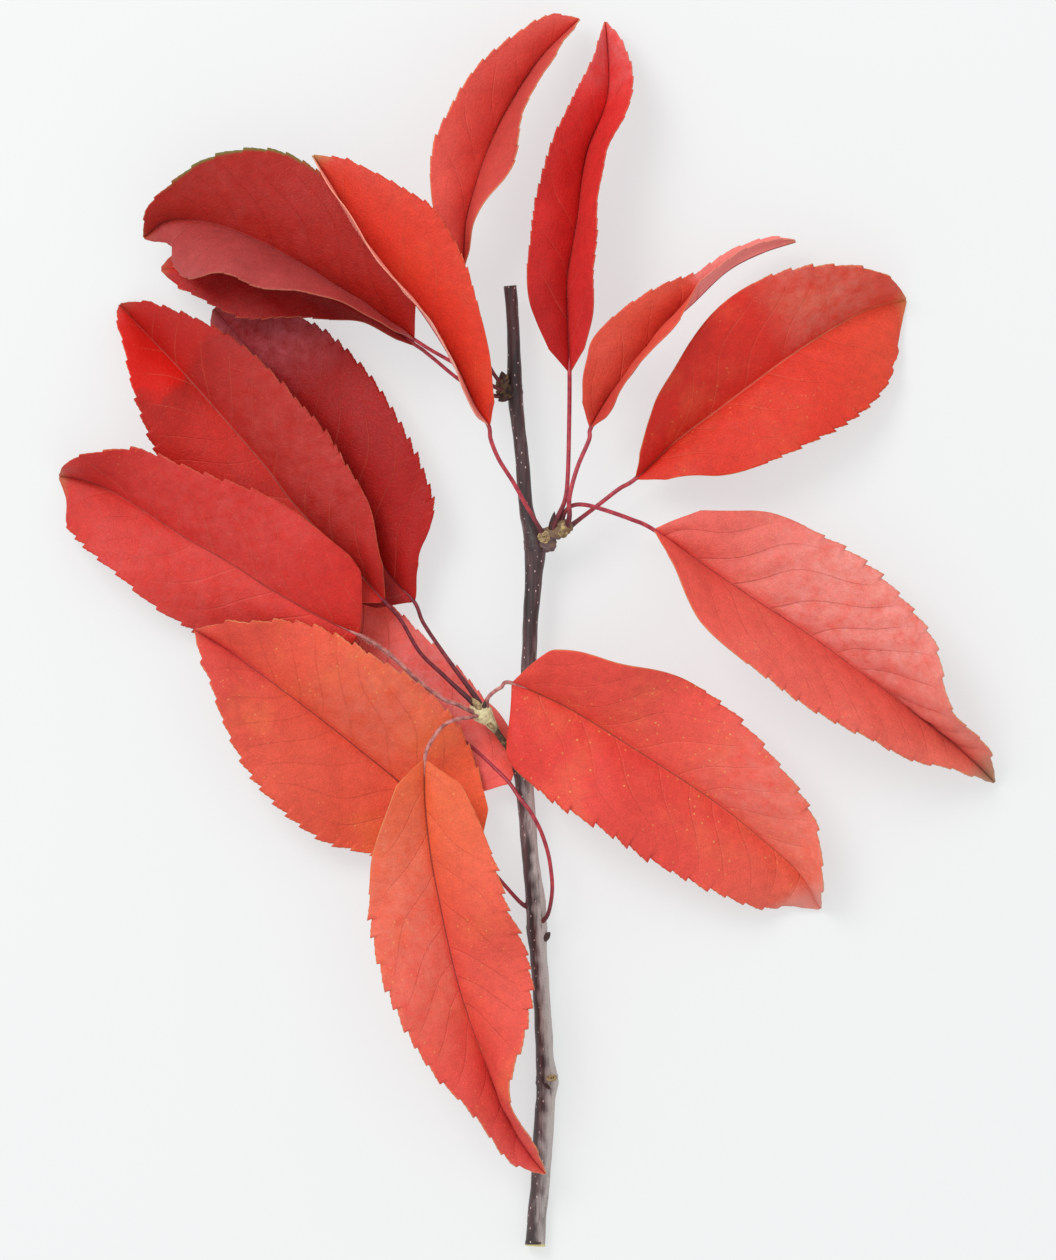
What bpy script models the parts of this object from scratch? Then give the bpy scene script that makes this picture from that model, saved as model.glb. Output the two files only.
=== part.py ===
"""A cut twig of a crab apple in autumn, lying flat, with fifteen red leaves. Metres, +Z up."""

import bpy
import bmesh
import numpy as np
from mathutils import Vector

MM = 0.001
BLADE_THICK = 0.64
TOOTH_PITCH = 3.3
TOOTH_DEEP = 0.55
TOOTH_LEAN = 0.7
CAMBER = 9  # degrees by which the middle of a half blade stands above its margin
WAVE_HIGH = 0.7
BASE_FOLD = 35  # degrees, the most a half is raised where it meets its stalk
GAP = 0.3
LIFT = 0.1  # the lowest leaf tips just touch the table
KNOTS = (0, 0.06, 0.2, 0.35, 0.5, 0.65, 0.8, 0.93, 1)  # where along a blade the widths and angles are given

# Each leaf, in mm: its midrib from base to tip, its stalk from the shoot to the base, and its half
# width at the knots. Left and right say how far each half is raised there, in degrees.
LEAVES = {
    "leaf_a1": {
        "midrib": (
            (-14, 79.5, 14), (-13.5, 88.5, 14), (-12, 95.5, 14), (-8.5, 106, 13), (-3.5, 116, 11),
            (3, 126, 8), (11.5, 134.5, 5),
        ),
        "stalk": ((-5.3, 53.8, 10.2), (-7.9, 57.3, 12), (-12, 66.1, 13), (-15, 76, 13.9)),
        "width": (5, 11, 14, 14.5, 13.5, 10, 6),
        "left": (50, 45, 35, 41, 46, 43, 38),
        "right": (80, 76, 66, 70, 77, 78, 80),
    },
    "leaf_a2": {
        "midrib": (
            (-25, 64, 14.5), (-33, 69, 14.4), (-48, 79.5, 13.6), (-65, 88, 12.5), (-78.2, 90.2, 11),
            (-84.3, 86.4, 10),
        ),
        "stalk": ((-5.1, 52.7, 10.2), (-7.7, 53.8, 12), (-16.3, 58.8, 13.8), (-21.4, 61.7, 14.4)),
        "width": (9, 15, 18.5, 20, 20.5, 15.5, 7),
        "left": (86, 84, 75, 63, 60, 35, 18),
        "right": (30, 25, 20, 16, 17, 31, 55),
    },
    "leaf_a3": {
        "midrib": ((-25, 63, 10), (-39, 71.5, 9.6), (-52, 77, 9.2), (-67.5, 79.5, 8.6), (-80.5, 79.5, 8)),
        "stalk": ((-5.3, 52, 9.6), (-7.3, 51.6, 9.8), (-13.9, 54.4, 10), (-21.4, 60.4, 10.2)),
        "width": (2, 4, 7.5, 10, 11, 8.5, 4.5),
        "left": (50, 60, 45, 30, 25, 20, 15),
        "right": (10, 8, 5, 5, 5, 5, 5),
    },
    "leaf_b1": {
        "midrib": (
            (-8.5, 45, 16), (-11.5, 49.5, 16.8), (-16.5, 59.5, 18.5), (-24, 71, 20.5), (-34.5, 83.5, 22),
            (-42, 95.5, 21.5), (-47, 104, 20),
        ),
        "stalk": (
            (3.7, 20.8, 10), (2.2, 23.4, 11.6), (-0.3, 27.6, 12.8), (-3.1, 32.6, 14), (-6.2, 37.5, 15),
            (-8, 41.9, 15.6),
        ),
        "width": (6, 10, 13, 16.5, 17.5, 13, 6.5),
        "left": (80, 88, 90, 90, 90, 90, 88),
        "right": (47, 41, 32, 25, 22, 23, 23),
    },
    "leaf_b2": {
        "midrib": (
            (9.3, 57, 12), (8.9, 68.5, 12), (8.9, 78, 12), (10.9, 89.5, 11), (13, 104.5, 9.2),
            (17.7, 118, 7), (17.2, 134, 4),
        ),
        "stalk": (
            (5.6, 22.3, 10.3), (6.6, 24.7, 11.8), (8.3, 28.6, 12.7), (8.9, 33.5, 12.5), (9.2, 44.1, 12),
        ),
        "width": (5, 10, 11.5, 12, 11.5, 9, 5),
        "left": (30, 31, 37, 41, 47, 50, 66),
        "right": (45, 57, 62, 73, 69, 52, 47),
    },
    "leaf_b3": {
        "midrib": (
            (14, 44.5, 14), (18, 51, 14.4), (22.5, 56, 14.8), (29.5, 65.5, 15), (36.5, 72, 14.2),
            (44, 79, 12.4), (51.5, 83, 10.6), (59, 85.5, 9),
        ),
        "stalk": (
            (8.8, 22.9, 11), (9.3, 25.2, 13.4), (9.3, 29.3, 14.9), (11, 35.7, 14.6), (13.6, 41.9, 14.3),
        ),
        "width": (6, 11.5, 12.5, 10.6, 4.2, 3.4, 2.6),
        "left": (43, 25, 34, 42, 27, -20, -20),
        "right": (74, 86, 87, 90, 112, 138, 130),
    },
    "leaf_b4": {
        "midrib": (
            (24, 33.5, 8), (32.5, 41.5, 8.2), (42.5, 49, 8), (58, 60.5, 6.5), (70.5, 68.5, 3.6),
            (77, 71.5, 1.9), (83.5, 73, 0.3),
        ),
        "stalk": ((9.2, 22.7, 10), (11.6, 24.5, 9.8), (15.4, 27.4, 9), (20.2, 31.1, 8.4)),
        "width": (6, 13, 17, 19, 19.5, 17, 11),
        "left": (55, 40, 27, 22, 28, 44, 60),
        "right": (36, 25, 20, 15, 13, 5, 5),
    },
    "leaf_b5": {
        "midrib": (
            (28, 22, 10), (40, 13.5, 9.5), (52, 5.5, 9), (62, -1, 8.2), (73, -9, 7), (82.5, -16, 5.4),
            (92.5, -23.5, 3.4), (103, -33.5, 1.2),
        ),
        "stalk": (
            (7.4, 23.8, 10.4), (8.3, 26, 11.8), (9.9, 27.4, 12.5), (12.5, 27.6, 12.5), (16.2, 26.7, 12.1),
            (22.6, 24.5, 11),
        ),
        "width": (10, 18, 20.5, 21, 19.5, 14, 7),
        "left": (18, 8, 15, 22, 38, 72, 54),
        "right": (72, 54, 50, 53, 55, 52, 66),
    },
    "leaf_c1": {
        "midrib": (
            (-31.5, 6.5, 10), (-41, 17, 9), (-51, 27.5, 8.2), (-57.5, 36, 8), (-67, 47, 7.6),
            (-75.5, 56.5, 6.6), (-85, 66.5, 3.4), (-89.8, 71.8, 0.3),
        ),
        "stalk": (
            (-10.8, -17.1, 9.6), (-13, -14.9, 10), (-15.2, -12.9, 10), (-18.5, -9.8, 10), (-23.6, -4.8, 10),
            (-27.8, 2.3, 9.6),
        ),
        "width": (7, 13.5, 16, 16.5, 16, 12, 6.5),
        "left": (12, 0, -8, -6, 7, 29, 56),
        "right": (45, 24, 26, 26, 26, 27, 30),
    },
    "leaf_c2": {
        "midrib": (
            (-25, 6.5, 7), (-31.5, 14, 6), (-40, 31, 5), (-46, 42, 4.2), (-56.5, 56, 2.8), (-69, 71, 1.2),
        ),
        "stalk": ((-10.2, -16.6, 9.4), (-12.1, -13.6, 9.2), (-17.2, -6.7, 8.6), (-22.7, 1.4, 7.6)),
        "width": (7, 16, 18, 18, 17, 14.5, 6.5),
        "left": (-5, -6, -8, -8, -5, 0, 0),
        "right": (22, 18, 17, 15, 12, 14, 20),
    },
    "leaf_c3": {
        "midrib": (
            (-37, -1, 12.5), (-45.5, 3, 11.5), (-57, 9.5, 10.5), (-65.5, 15, 10), (-74.5, 20, 9.2),
            (-82, 24.8, 8), (-91, 30.4, 5.4), (-98.5, 33.4, 3.6), (-103.1, 34, 2.2),
        ),
        "stalk": (
            (-11.3, -18.2, 9.6), (-13.5, -17.3, 11), (-15.2, -16.4, 11.8), (-18.5, -15.1, 12.6),
            (-23.6, -11.4, 13.2), (-28.6, -6.7, 13.2), (-32.4, -3.7, 12.9),
        ),
        "width": (13, 17, 18, 17, 15.5, 14, 10.5),
        "left": (-22, -24, -22, -10, 15, 16, 4),
        "right": (16, 20, 16, 24, 28, 42, 66),
    },
    "leaf_c4": {
        "midrib": (
            (-22.5, -28.5, 14.5), (-22.5, -37.5, 15), (-21.5, -47, 14.6), (-20, -56, 14),
            (-15.5, -76.5, 12.5), (-10, -93, 10.8), (-3.5, -108, 9.2), (0.5, -115, 8.4), (4, -119.5, 7.8),
        ),
        "stalk": (
            (-9.9, -18.4, 9), (-12.4, -19.1, 12.2), (-15.4, -19.5, 13.8), (-18.5, -21, 14.6),
            (-21.2, -24.6, 14.8),
        ),
        "width": (8.5, 13.5, 16.5, 17, 15, 10.5, 6),
        "left": (12, 21, 29, 19, 41, 79, 72),
        "right": (45, 18, 20, 27, 38, 52, 42),
    },
    "leaf_c5": {
        "midrib": (
            (-3.2, -11.6, 11), (9, -17, 11), (23.5, -26, 10), (41, -37.5, 8), (50.5, -45, 6),
            (60.5, -54, 2.8), (64.7, -61.3, 1),
        ),
        "stalk": ((-9.1, -17.1, 9.8), (-8.7, -15, 10.8), (-7.4, -13.6, 11), (-5.8, -12.6, 11)),
        "width": (15.5, 19, 20, 19.5, 18, 14.5, 9),
        "left": (50, 41, 21, 21, 32, 45, 75),
        "right": (0, 6, 20, 18, 17, 15, 5),
    },
    "leaf_d1": {
        "midrib": (
            (-11, -49, 5.6), (-19, -41.5, 5.2), (-28, -33.5, 5.6), (-36, -27, 6.4), (-43.5, -21, 7.2),
            (-52, -14.5, 8.2), (-65, -5, 8.6), (-73, 0, 8),
        ),
        "stalk": ((0.6, -61.1, 4.8), (-1.4, -60, 5.3), (-4.9, -56.2, 5.8), (-7.3, -53.4, 5.9)),
        "width": (9, 15.5, 20.5, 21.5, 19, 13.5, 7),
        "left": (4, 4, 8, 12, 14, 20, 40),
        "right": (15, 8, 22, 30, 24, 15, 40),
    },
    "leaf_d2": {
        "midrib": (
            (-4, -33.5, 7), (-8, -29.5, 4.8), (-13, -25, 3.8), (-18, -21.5, 3.4), (-32.5, -8.5, 2.8),
            (-45.5, 3.5, 2.3), (-59, 15, 1.8),
        ),
        "stalk": (
            (2.8, -64.6, 5.2), (4.6, -62.4, 6.8), (5.5, -57.3, 8.2), (5.2, -52.5, 9), (4.4, -48.3, 9.4),
            (2.8, -43.7, 9.6), (0.6, -39.7, 9.6), (-1.8, -36.7, 8.7),
        ),
        "width": (7, 10.5, 11.8, 11.8, 12, 10, 6.5),
        "left": (-8, -6, -5, -5, -5, -5, -5),
        "right": (-20, -16, -8, -5, -5, -5, -5),
    },
}

# The twig from its cut foot to its cut top: middle line, height and radius.
TWIG = (
    (1.7, -135.7, 1.95, 2.2), (2.2, -128.6, 1.95, 2.12), (2.8, -123.1, 1.95, 2.05),
    (3.5, -111.7, 2.1, 2.25), (4.1, -103.3, 2.4, 2.1), (4.4, -99.4, 2.6, 2.45), (3.9, -94.5, 2.8, 2),
    (3.3, -82.9, 3.3, 1.85), (2.4, -70.3, 3.9, 1.9), (2.2, -66.4, 4.1, 2.25), (1.9, -60.4, 4.4, 2.2),
    (0.8, -50.7, 4.8, 1.85), (0, -41.1, 5.2, 1.9), (-0.7, -33.4, 5.6, 2.05), (-1.4, -26.8, 5.9, 2.3),
    (-0.7, -20.8, 6.1, 1.85), (0.2, -10.3, 6.4, 1.65), (0.8, 2.5, 6.8, 1.65), (1.5, 12.8, 7.1, 2),
    (1.7, 18.3, 7.3, 2.4), (0.6, 23.2, 7.5, 1.75), (-0.3, 27.6, 7.6, 1.55), (-1.1, 37.5, 7.9, 1.5),
    (-1.8, 44.1, 8.1, 1.5), (-2.7, 52.7, 8.4, 1.75), (-2.9, 61.7, 8.7, 1.4), (-3.3, 70.5, 9, 1.35),
    (-3.8, 75.8, 9.2, 1.4),
)
# Rounded lumps of each short shoot: place, height and radius.
SPURS = {
    "spur_top": (
        (-3.6, 52.7, 8.9, 1.5), (-4.9, 52, 9.3, 1.6), (-5.3, 53.8, 9.6, 1.7), (-5.1, 55.3, 9.9, 1.2),
    ),
    "spur_middle": (
        (4.6, 19, 8.6, 1.9), (4.1, 20.8, 9.2, 1.8), (5.5, 21.2, 9.6, 1.6), (7.4, 21.9, 10, 1.7),
        (8.8, 23, 10.4, 1.4), (7, 23.6, 10.5, 1.2),
    ),
    "spur_lower": (
        (-3.3, -26.8, 6.6, 1.7), (-5.1, -24.6, 7.2, 1.7), (-6.6, -22.4, 7.9, 1.8), (-8.4, -19.9, 8.5, 2.3),
        (-9.9, -18.2, 8.9, 2.5), (-11.3, -16.9, 8.9, 1.7),
    ),
}
BUD = ((4.8, -67.2, 4.6, 1.1), (5.2, -66.1, 5.0, 0.8))
TWIG_SIDES = 12
STALK_SIDES = 6
STALK_SHARES = (0, 0.12, 0.85, 1)  # a stalk's flared foot, its even part and its end inside the blade
STALK_RADII = (0.75, 0.5, 0.5, 0.42)
BASE_HALF = 0.6
TIP_HALF = 0.5
BARK = (0.07, 0.035, 0.04)
YOUNG_BARK = (0.42, 0.38, 0.22)
REDS = ((0.48, 0.03, 0.03), (0.55, 0.05, 0.035), (0.55, 0.05, 0.035))

parts = bpy.data.collections.new("autumn_leaf_twig")
cutters = bpy.data.collections.new("cutters")


def start():
    for old in list(bpy.data.objects):
        bpy.data.objects.remove(old)
    bpy.context.scene.collection.children.link(parts)
    bpy.context.scene.collection.children.link(cutters)
    cutters.hide_render = True


def material(name, colour, roughness):
    made = bpy.data.materials.new(name)
    made.use_nodes = True
    shader = made.node_tree.nodes["Principled BSDF"]
    shader.inputs["Base Color"].default_value = (*colour, 1)
    shader.inputs["Roughness"].default_value = roughness
    return made


def smooth(values, at):
    """A smooth curve through values, read at positions counted in values."""
    p = np.asarray(values, float)
    flat = p.ndim == 1
    if flat:
        p = p[:, None]
    p = np.vstack([2 * p[0] - p[1], p, 2 * p[-1] - p[-2]])
    i = np.clip(np.asarray(at, float).astype(int), 0, len(p) - 4)
    f = (np.asarray(at, float) - i)[:, None]
    a, b, c, d = p[i], p[i + 1], p[i + 2], p[i + 3]
    curve = 2 * b + (c - a) * f + (2 * a - 5 * b + 4 * c - d) * f**2 + (3 * b - a - 3 * c + d) * f**3
    curve = curve / 2
    return curve[:, 0] if flat else curve


def evenly(points, count):
    """count points spaced evenly along the smooth curve through points, and its length."""
    fine = smooth(points, np.linspace(0, len(points) - 1, 400))
    run = np.concatenate([[0], np.cumsum(np.linalg.norm(np.diff(fine, axis=0), axis=1))])
    at = np.linspace(0, run[-1], count)
    return np.stack([np.interp(at, run, fine[:, k]) for k in range(3)], -1), run[-1]


def along(values, s):
    """Values given at the knots, read at shares s of the blade."""
    return smooth(values, np.interp(s, KNOTS, np.arange(len(KNOTS))))


def half_blade(leaf, side, middle, s, turn):
    """The points of one half: its middle column and its toothed margin, which has two points to a cell."""
    tangent = np.gradient(middle, axis=0)
    tangent /= np.linalg.norm(tangent, axis=1)[:, None]
    out = np.cross((0, 0, 1.0), tangent)
    out /= np.linalg.norm(out, axis=1)[:, None]
    up = np.cross(tangent, out)
    width = np.maximum(along((BASE_HALF, *leaf["width"], TIP_HALF), s), TIP_HALF) * MM
    given = leaf["left" if side > 0 else "right"]
    raised = np.radians(along((min(given[0], BASE_FOLD), *given, given[-1]), s))
    wave = WAVE_HIGH * MM * np.sin(2 * np.pi * (2.6 * s + turn + side * 0.2)) * np.sin(np.pi * s)
    tooth = np.arange(len(s)) % 2
    reach = width + tooth * TOOTH_DEEP * MM * np.sin(np.pi * np.clip(s * 1.1, 0, 1)) ** 0.5
    rows = []
    for share, angle in ((0.5, raised + np.radians(CAMBER)), (1.0, raised)):
        span = (width * 0.5 if share < 1 else reach)[:, None]
        flat = np.cos(angle)[:, None] * side * out + np.sin(angle)[:, None] * up
        normal = np.cos(angle)[:, None] * up - np.sin(angle)[:, None] * side * out
        rows.append(middle + span * flat + (wave * share)[:, None] * normal)
    rows[1] += (tooth * TOOTH_LEAN * MM)[:, None] * tangent * (s < 0.97)[:, None]
    return rows[0][::2], rows[1]


def blade(name, leaf, turn):
    """The flat sheet of a leaf, in triangles, before it gets its thickness."""
    steps = np.array([MM * np.array(p) for p in leaf["midrib"]])
    length = evenly(steps, 2)[1]
    cells = int(length / (TOOTH_PITCH * MM))
    middle = evenly(steps, 2 * cells + 1)[0]
    s = np.linspace(0, 1, 2 * cells + 1)
    mesh = bmesh.new()
    lowest = BLADE_THICK * MM / 2 + LIFT * MM
    spine = [mesh.verts.new((x, y, max(z, lowest))) for x, y, z in middle[::2]]
    for side in (1, -1):
        inner, margin = half_blade(leaf, side, middle, s, turn)
        inner = [mesh.verts.new((x, y, max(z, lowest))) for x, y, z in inner]
        margin = [mesh.verts.new((x, y, max(z, lowest))) for x, y, z in margin]
        for k in range(cells):
            a, b, c = margin[2 * k], margin[2 * k + 1], margin[2 * k + 2]
            faces = [
                (spine[k], spine[k + 1], inner[k]),
                (spine[k + 1], inner[k + 1], inner[k]),
                (inner[k], b, a),
                (inner[k], inner[k + 1], b),
                (inner[k + 1], c, b),
            ]
            for face in faces:
                mesh.faces.new(face if side > 0 else face[::-1])
    return finish(name, mesh)


def finish(name, mesh, shaded=True):
    bmesh.ops.recalc_face_normals(mesh, faces=mesh.faces)
    data = bpy.data.meshes.new(name)
    mesh.to_mesh(data)
    mesh.free()
    made = bpy.data.objects.new(name, data)
    if shaded:
        data.shade_smooth()
    return made


def rod(name, points, radii, sides):
    """A closed tube through points, with its own radius at each."""
    curve = bpy.data.curves.new(name, "CURVE")
    curve.dimensions = "3D"
    curve.bevel_depth = 1
    curve.bevel_resolution = sides // 2 - 2
    curve.use_fill_caps = True
    spline = curve.splines.new("POLY")
    spline.points.add(len(points) - 1)
    for point, at, radius in zip(spline.points, points, radii):
        point.co = (*at, 1)
        point.radius = radius
    drawn = bpy.data.objects.new(name, curve)
    bpy.context.scene.collection.objects.link(drawn)
    bpy.context.view_layer.update()
    data = bpy.data.meshes.new_from_object(drawn.evaluated_get(bpy.context.evaluated_depsgraph_get()))
    bpy.data.objects.remove(drawn)
    mesh = bmesh.new()
    mesh.from_mesh(data)
    bmesh.ops.remove_doubles(mesh, verts=mesh.verts, dist=1e-6)
    bmesh.ops.triangulate(mesh, faces=mesh.faces)
    return finish(name, mesh)


def boolean(target, other, operation, solver="EXACT"):
    cut = target.modifiers.new(other.name, "BOOLEAN")
    cut.operation = operation
    cut.solver = solver
    cut.object = other


def as_cutter(made):
    cutters.objects.link(made)
    made.hide_render = True
    made.display_type = "WIRE"


def lumps(name, spots, grow):
    """Rounded bodies joined into one, as the ringed growth of a short shoot."""
    whole = None
    for number, (x, y, z, radius) in enumerate(spots):
        mesh = bmesh.new()
        bmesh.ops.create_icosphere(mesh, subdivisions=2, radius=(radius + grow) * MM)
        bmesh.ops.translate(mesh, verts=mesh.verts, vec=MM * Vector((x, y, z)))
        lump = finish(name if whole is None else f"{name}_lump_{number}", mesh)
        if whole is None:
            whole = lump
        else:
            as_cutter(lump)
            boolean(whole, lump, "UNION")
    return whole


def twig(name, grow):
    points = [MM * Vector((x, y, z)) for x, y, z, radius in TWIG]
    return rod(name, points, [(radius + grow) * MM for x, y, z, radius in TWIG], TWIG_SIDES)


def floor_cutter():
    mesh = bmesh.new()
    bmesh.ops.create_cube(mesh, size=1)
    bmesh.ops.scale(mesh, verts=mesh.verts, vec=(0.4, 0.4, 0.02))
    bmesh.ops.translate(mesh, verts=mesh.verts, vec=(0, 0, -0.01))
    return finish("below_the_table", mesh, False)


def make_twig():
    below = floor_cutter()
    as_cutter(below)
    stem = twig("twig", 0)
    parts.objects.link(stem)
    stem.data.materials.append(material("bark", BARK, 0.7))
    for number, (x, y, z, radius) in enumerate(BUD):
        mesh = bmesh.new()
        bmesh.ops.create_icosphere(mesh, subdivisions=1, radius=radius * MM)
        bmesh.ops.translate(mesh, verts=mesh.verts, vec=MM * Vector((x, y, z)))
        bud = finish(f"bud_{number}", mesh)
        as_cutter(bud)
        boolean(stem, bud, "UNION")
    boolean(stem, below, "DIFFERENCE")
    grown = twig("twig_grown", GAP)
    as_cutter(grown)
    return grown


def make_spurs(grown_twig):
    looks = material("young bark", YOUNG_BARK, 0.65)
    grown = {}
    for name, spots in SPURS.items():
        spur = lumps(name, spots, 0)
        parts.objects.link(spur)
        spur.data.materials.append(looks)
        boolean(spur, grown_twig, "DIFFERENCE")
        grown[name] = lumps(f"{name}_grown", spots, GAP)
        as_cutter(grown[name])
    return grown


def make_leaf(number, name, leaf, foot):
    sheet = blade(name, leaf, number * 0.37)
    parts.objects.link(sheet)
    sheet.data.materials.append(material(f"{name} red", REDS[number % len(REDS)], 0.5))
    thick = sheet.modifiers.new("thickness", "SOLIDIFY")
    thick.thickness = BLADE_THICK * MM
    thick.offset = 0
    thick.use_even_offset = True
    inside = [MM * np.array(p) for p in leaf["midrib"][:2]]
    into = inside[0] + 3 * MM * (inside[1] - inside[0]) / np.linalg.norm(inside[1] - inside[0])
    line = [MM * np.array(p) for p in leaf["stalk"]] + [inside[0], into]
    points = evenly(line, 8)[0]
    radii = np.interp(np.linspace(0, 1, 8), STALK_SHARES, STALK_RADII) * MM
    stalk = rod(f"{name}_stalk", points, radii, STALK_SIDES)
    as_cutter(stalk)
    boolean(sheet, stalk, "UNION", "MANIFOLD")
    boolean(sheet, foot, "DIFFERENCE", "MANIFOLD")


start()
grown_twig = make_twig()
grown_spurs = make_spurs(grown_twig)
FEET = {"a": "spur_top", "b": "spur_middle", "c": "spur_lower"}
for number, (name, leaf) in enumerate(LEAVES.items()):
    shoot = FEET.get(name[5])
    make_leaf(number, name, leaf, grown_spurs[shoot] if shoot else grown_twig)
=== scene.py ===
"""Looks of a cut crab apple twig in autumn: serrated red leaves, bark and short shoots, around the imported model.

It is laid out as a Blender add-on: settings, an operator for each group of pieces and for the stage, and a
panel that lists them. Sizes are in millimetres unless a name says otherwise; +Y runs to the twig's cut top.
"""

import bmesh
import bpy
import numpy as np
from bpy.props import FloatProperty, FloatVectorProperty, IntProperty, PointerProperty
from mathutils import Matrix, Vector, noise


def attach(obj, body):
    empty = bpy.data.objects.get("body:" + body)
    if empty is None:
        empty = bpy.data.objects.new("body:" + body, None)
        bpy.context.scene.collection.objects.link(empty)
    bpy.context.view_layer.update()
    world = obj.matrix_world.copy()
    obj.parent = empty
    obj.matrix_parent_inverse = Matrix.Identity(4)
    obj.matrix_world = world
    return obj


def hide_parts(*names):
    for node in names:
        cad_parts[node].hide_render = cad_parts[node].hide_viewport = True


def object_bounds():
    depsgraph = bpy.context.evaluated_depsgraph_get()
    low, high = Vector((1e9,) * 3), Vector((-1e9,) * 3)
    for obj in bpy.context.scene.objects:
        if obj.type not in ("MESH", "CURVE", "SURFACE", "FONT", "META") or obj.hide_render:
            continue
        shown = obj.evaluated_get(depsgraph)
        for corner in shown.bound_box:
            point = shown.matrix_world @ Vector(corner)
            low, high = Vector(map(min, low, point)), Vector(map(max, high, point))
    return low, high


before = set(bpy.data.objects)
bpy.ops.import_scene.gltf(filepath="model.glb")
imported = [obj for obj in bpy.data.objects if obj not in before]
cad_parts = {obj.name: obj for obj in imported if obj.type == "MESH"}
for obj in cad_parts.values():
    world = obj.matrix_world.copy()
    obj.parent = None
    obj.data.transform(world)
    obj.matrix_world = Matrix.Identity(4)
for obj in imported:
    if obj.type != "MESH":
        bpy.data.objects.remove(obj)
CAD_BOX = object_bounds()

bl_info = {
    "name": "Autumn Leaf Twig",
    "version": (1, 0, 0),
    "blender": (4, 5, 0),
    "location": "3D View > Sidebar > Leaf Twig",
    "description": "Dresses a packed crab apple twig with serrated red leaves, bark and short shoots",
    "category": "Object",
}

MM = 0.001
KNOTS = (0, 0.06, 0.2, 0.35, 0.5, 0.65, 0.8, 0.93, 1)  # where along a blade the widths and angles are given
CAMBER = 9  # degrees by which the middle of a half blade stands above its margin

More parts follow.
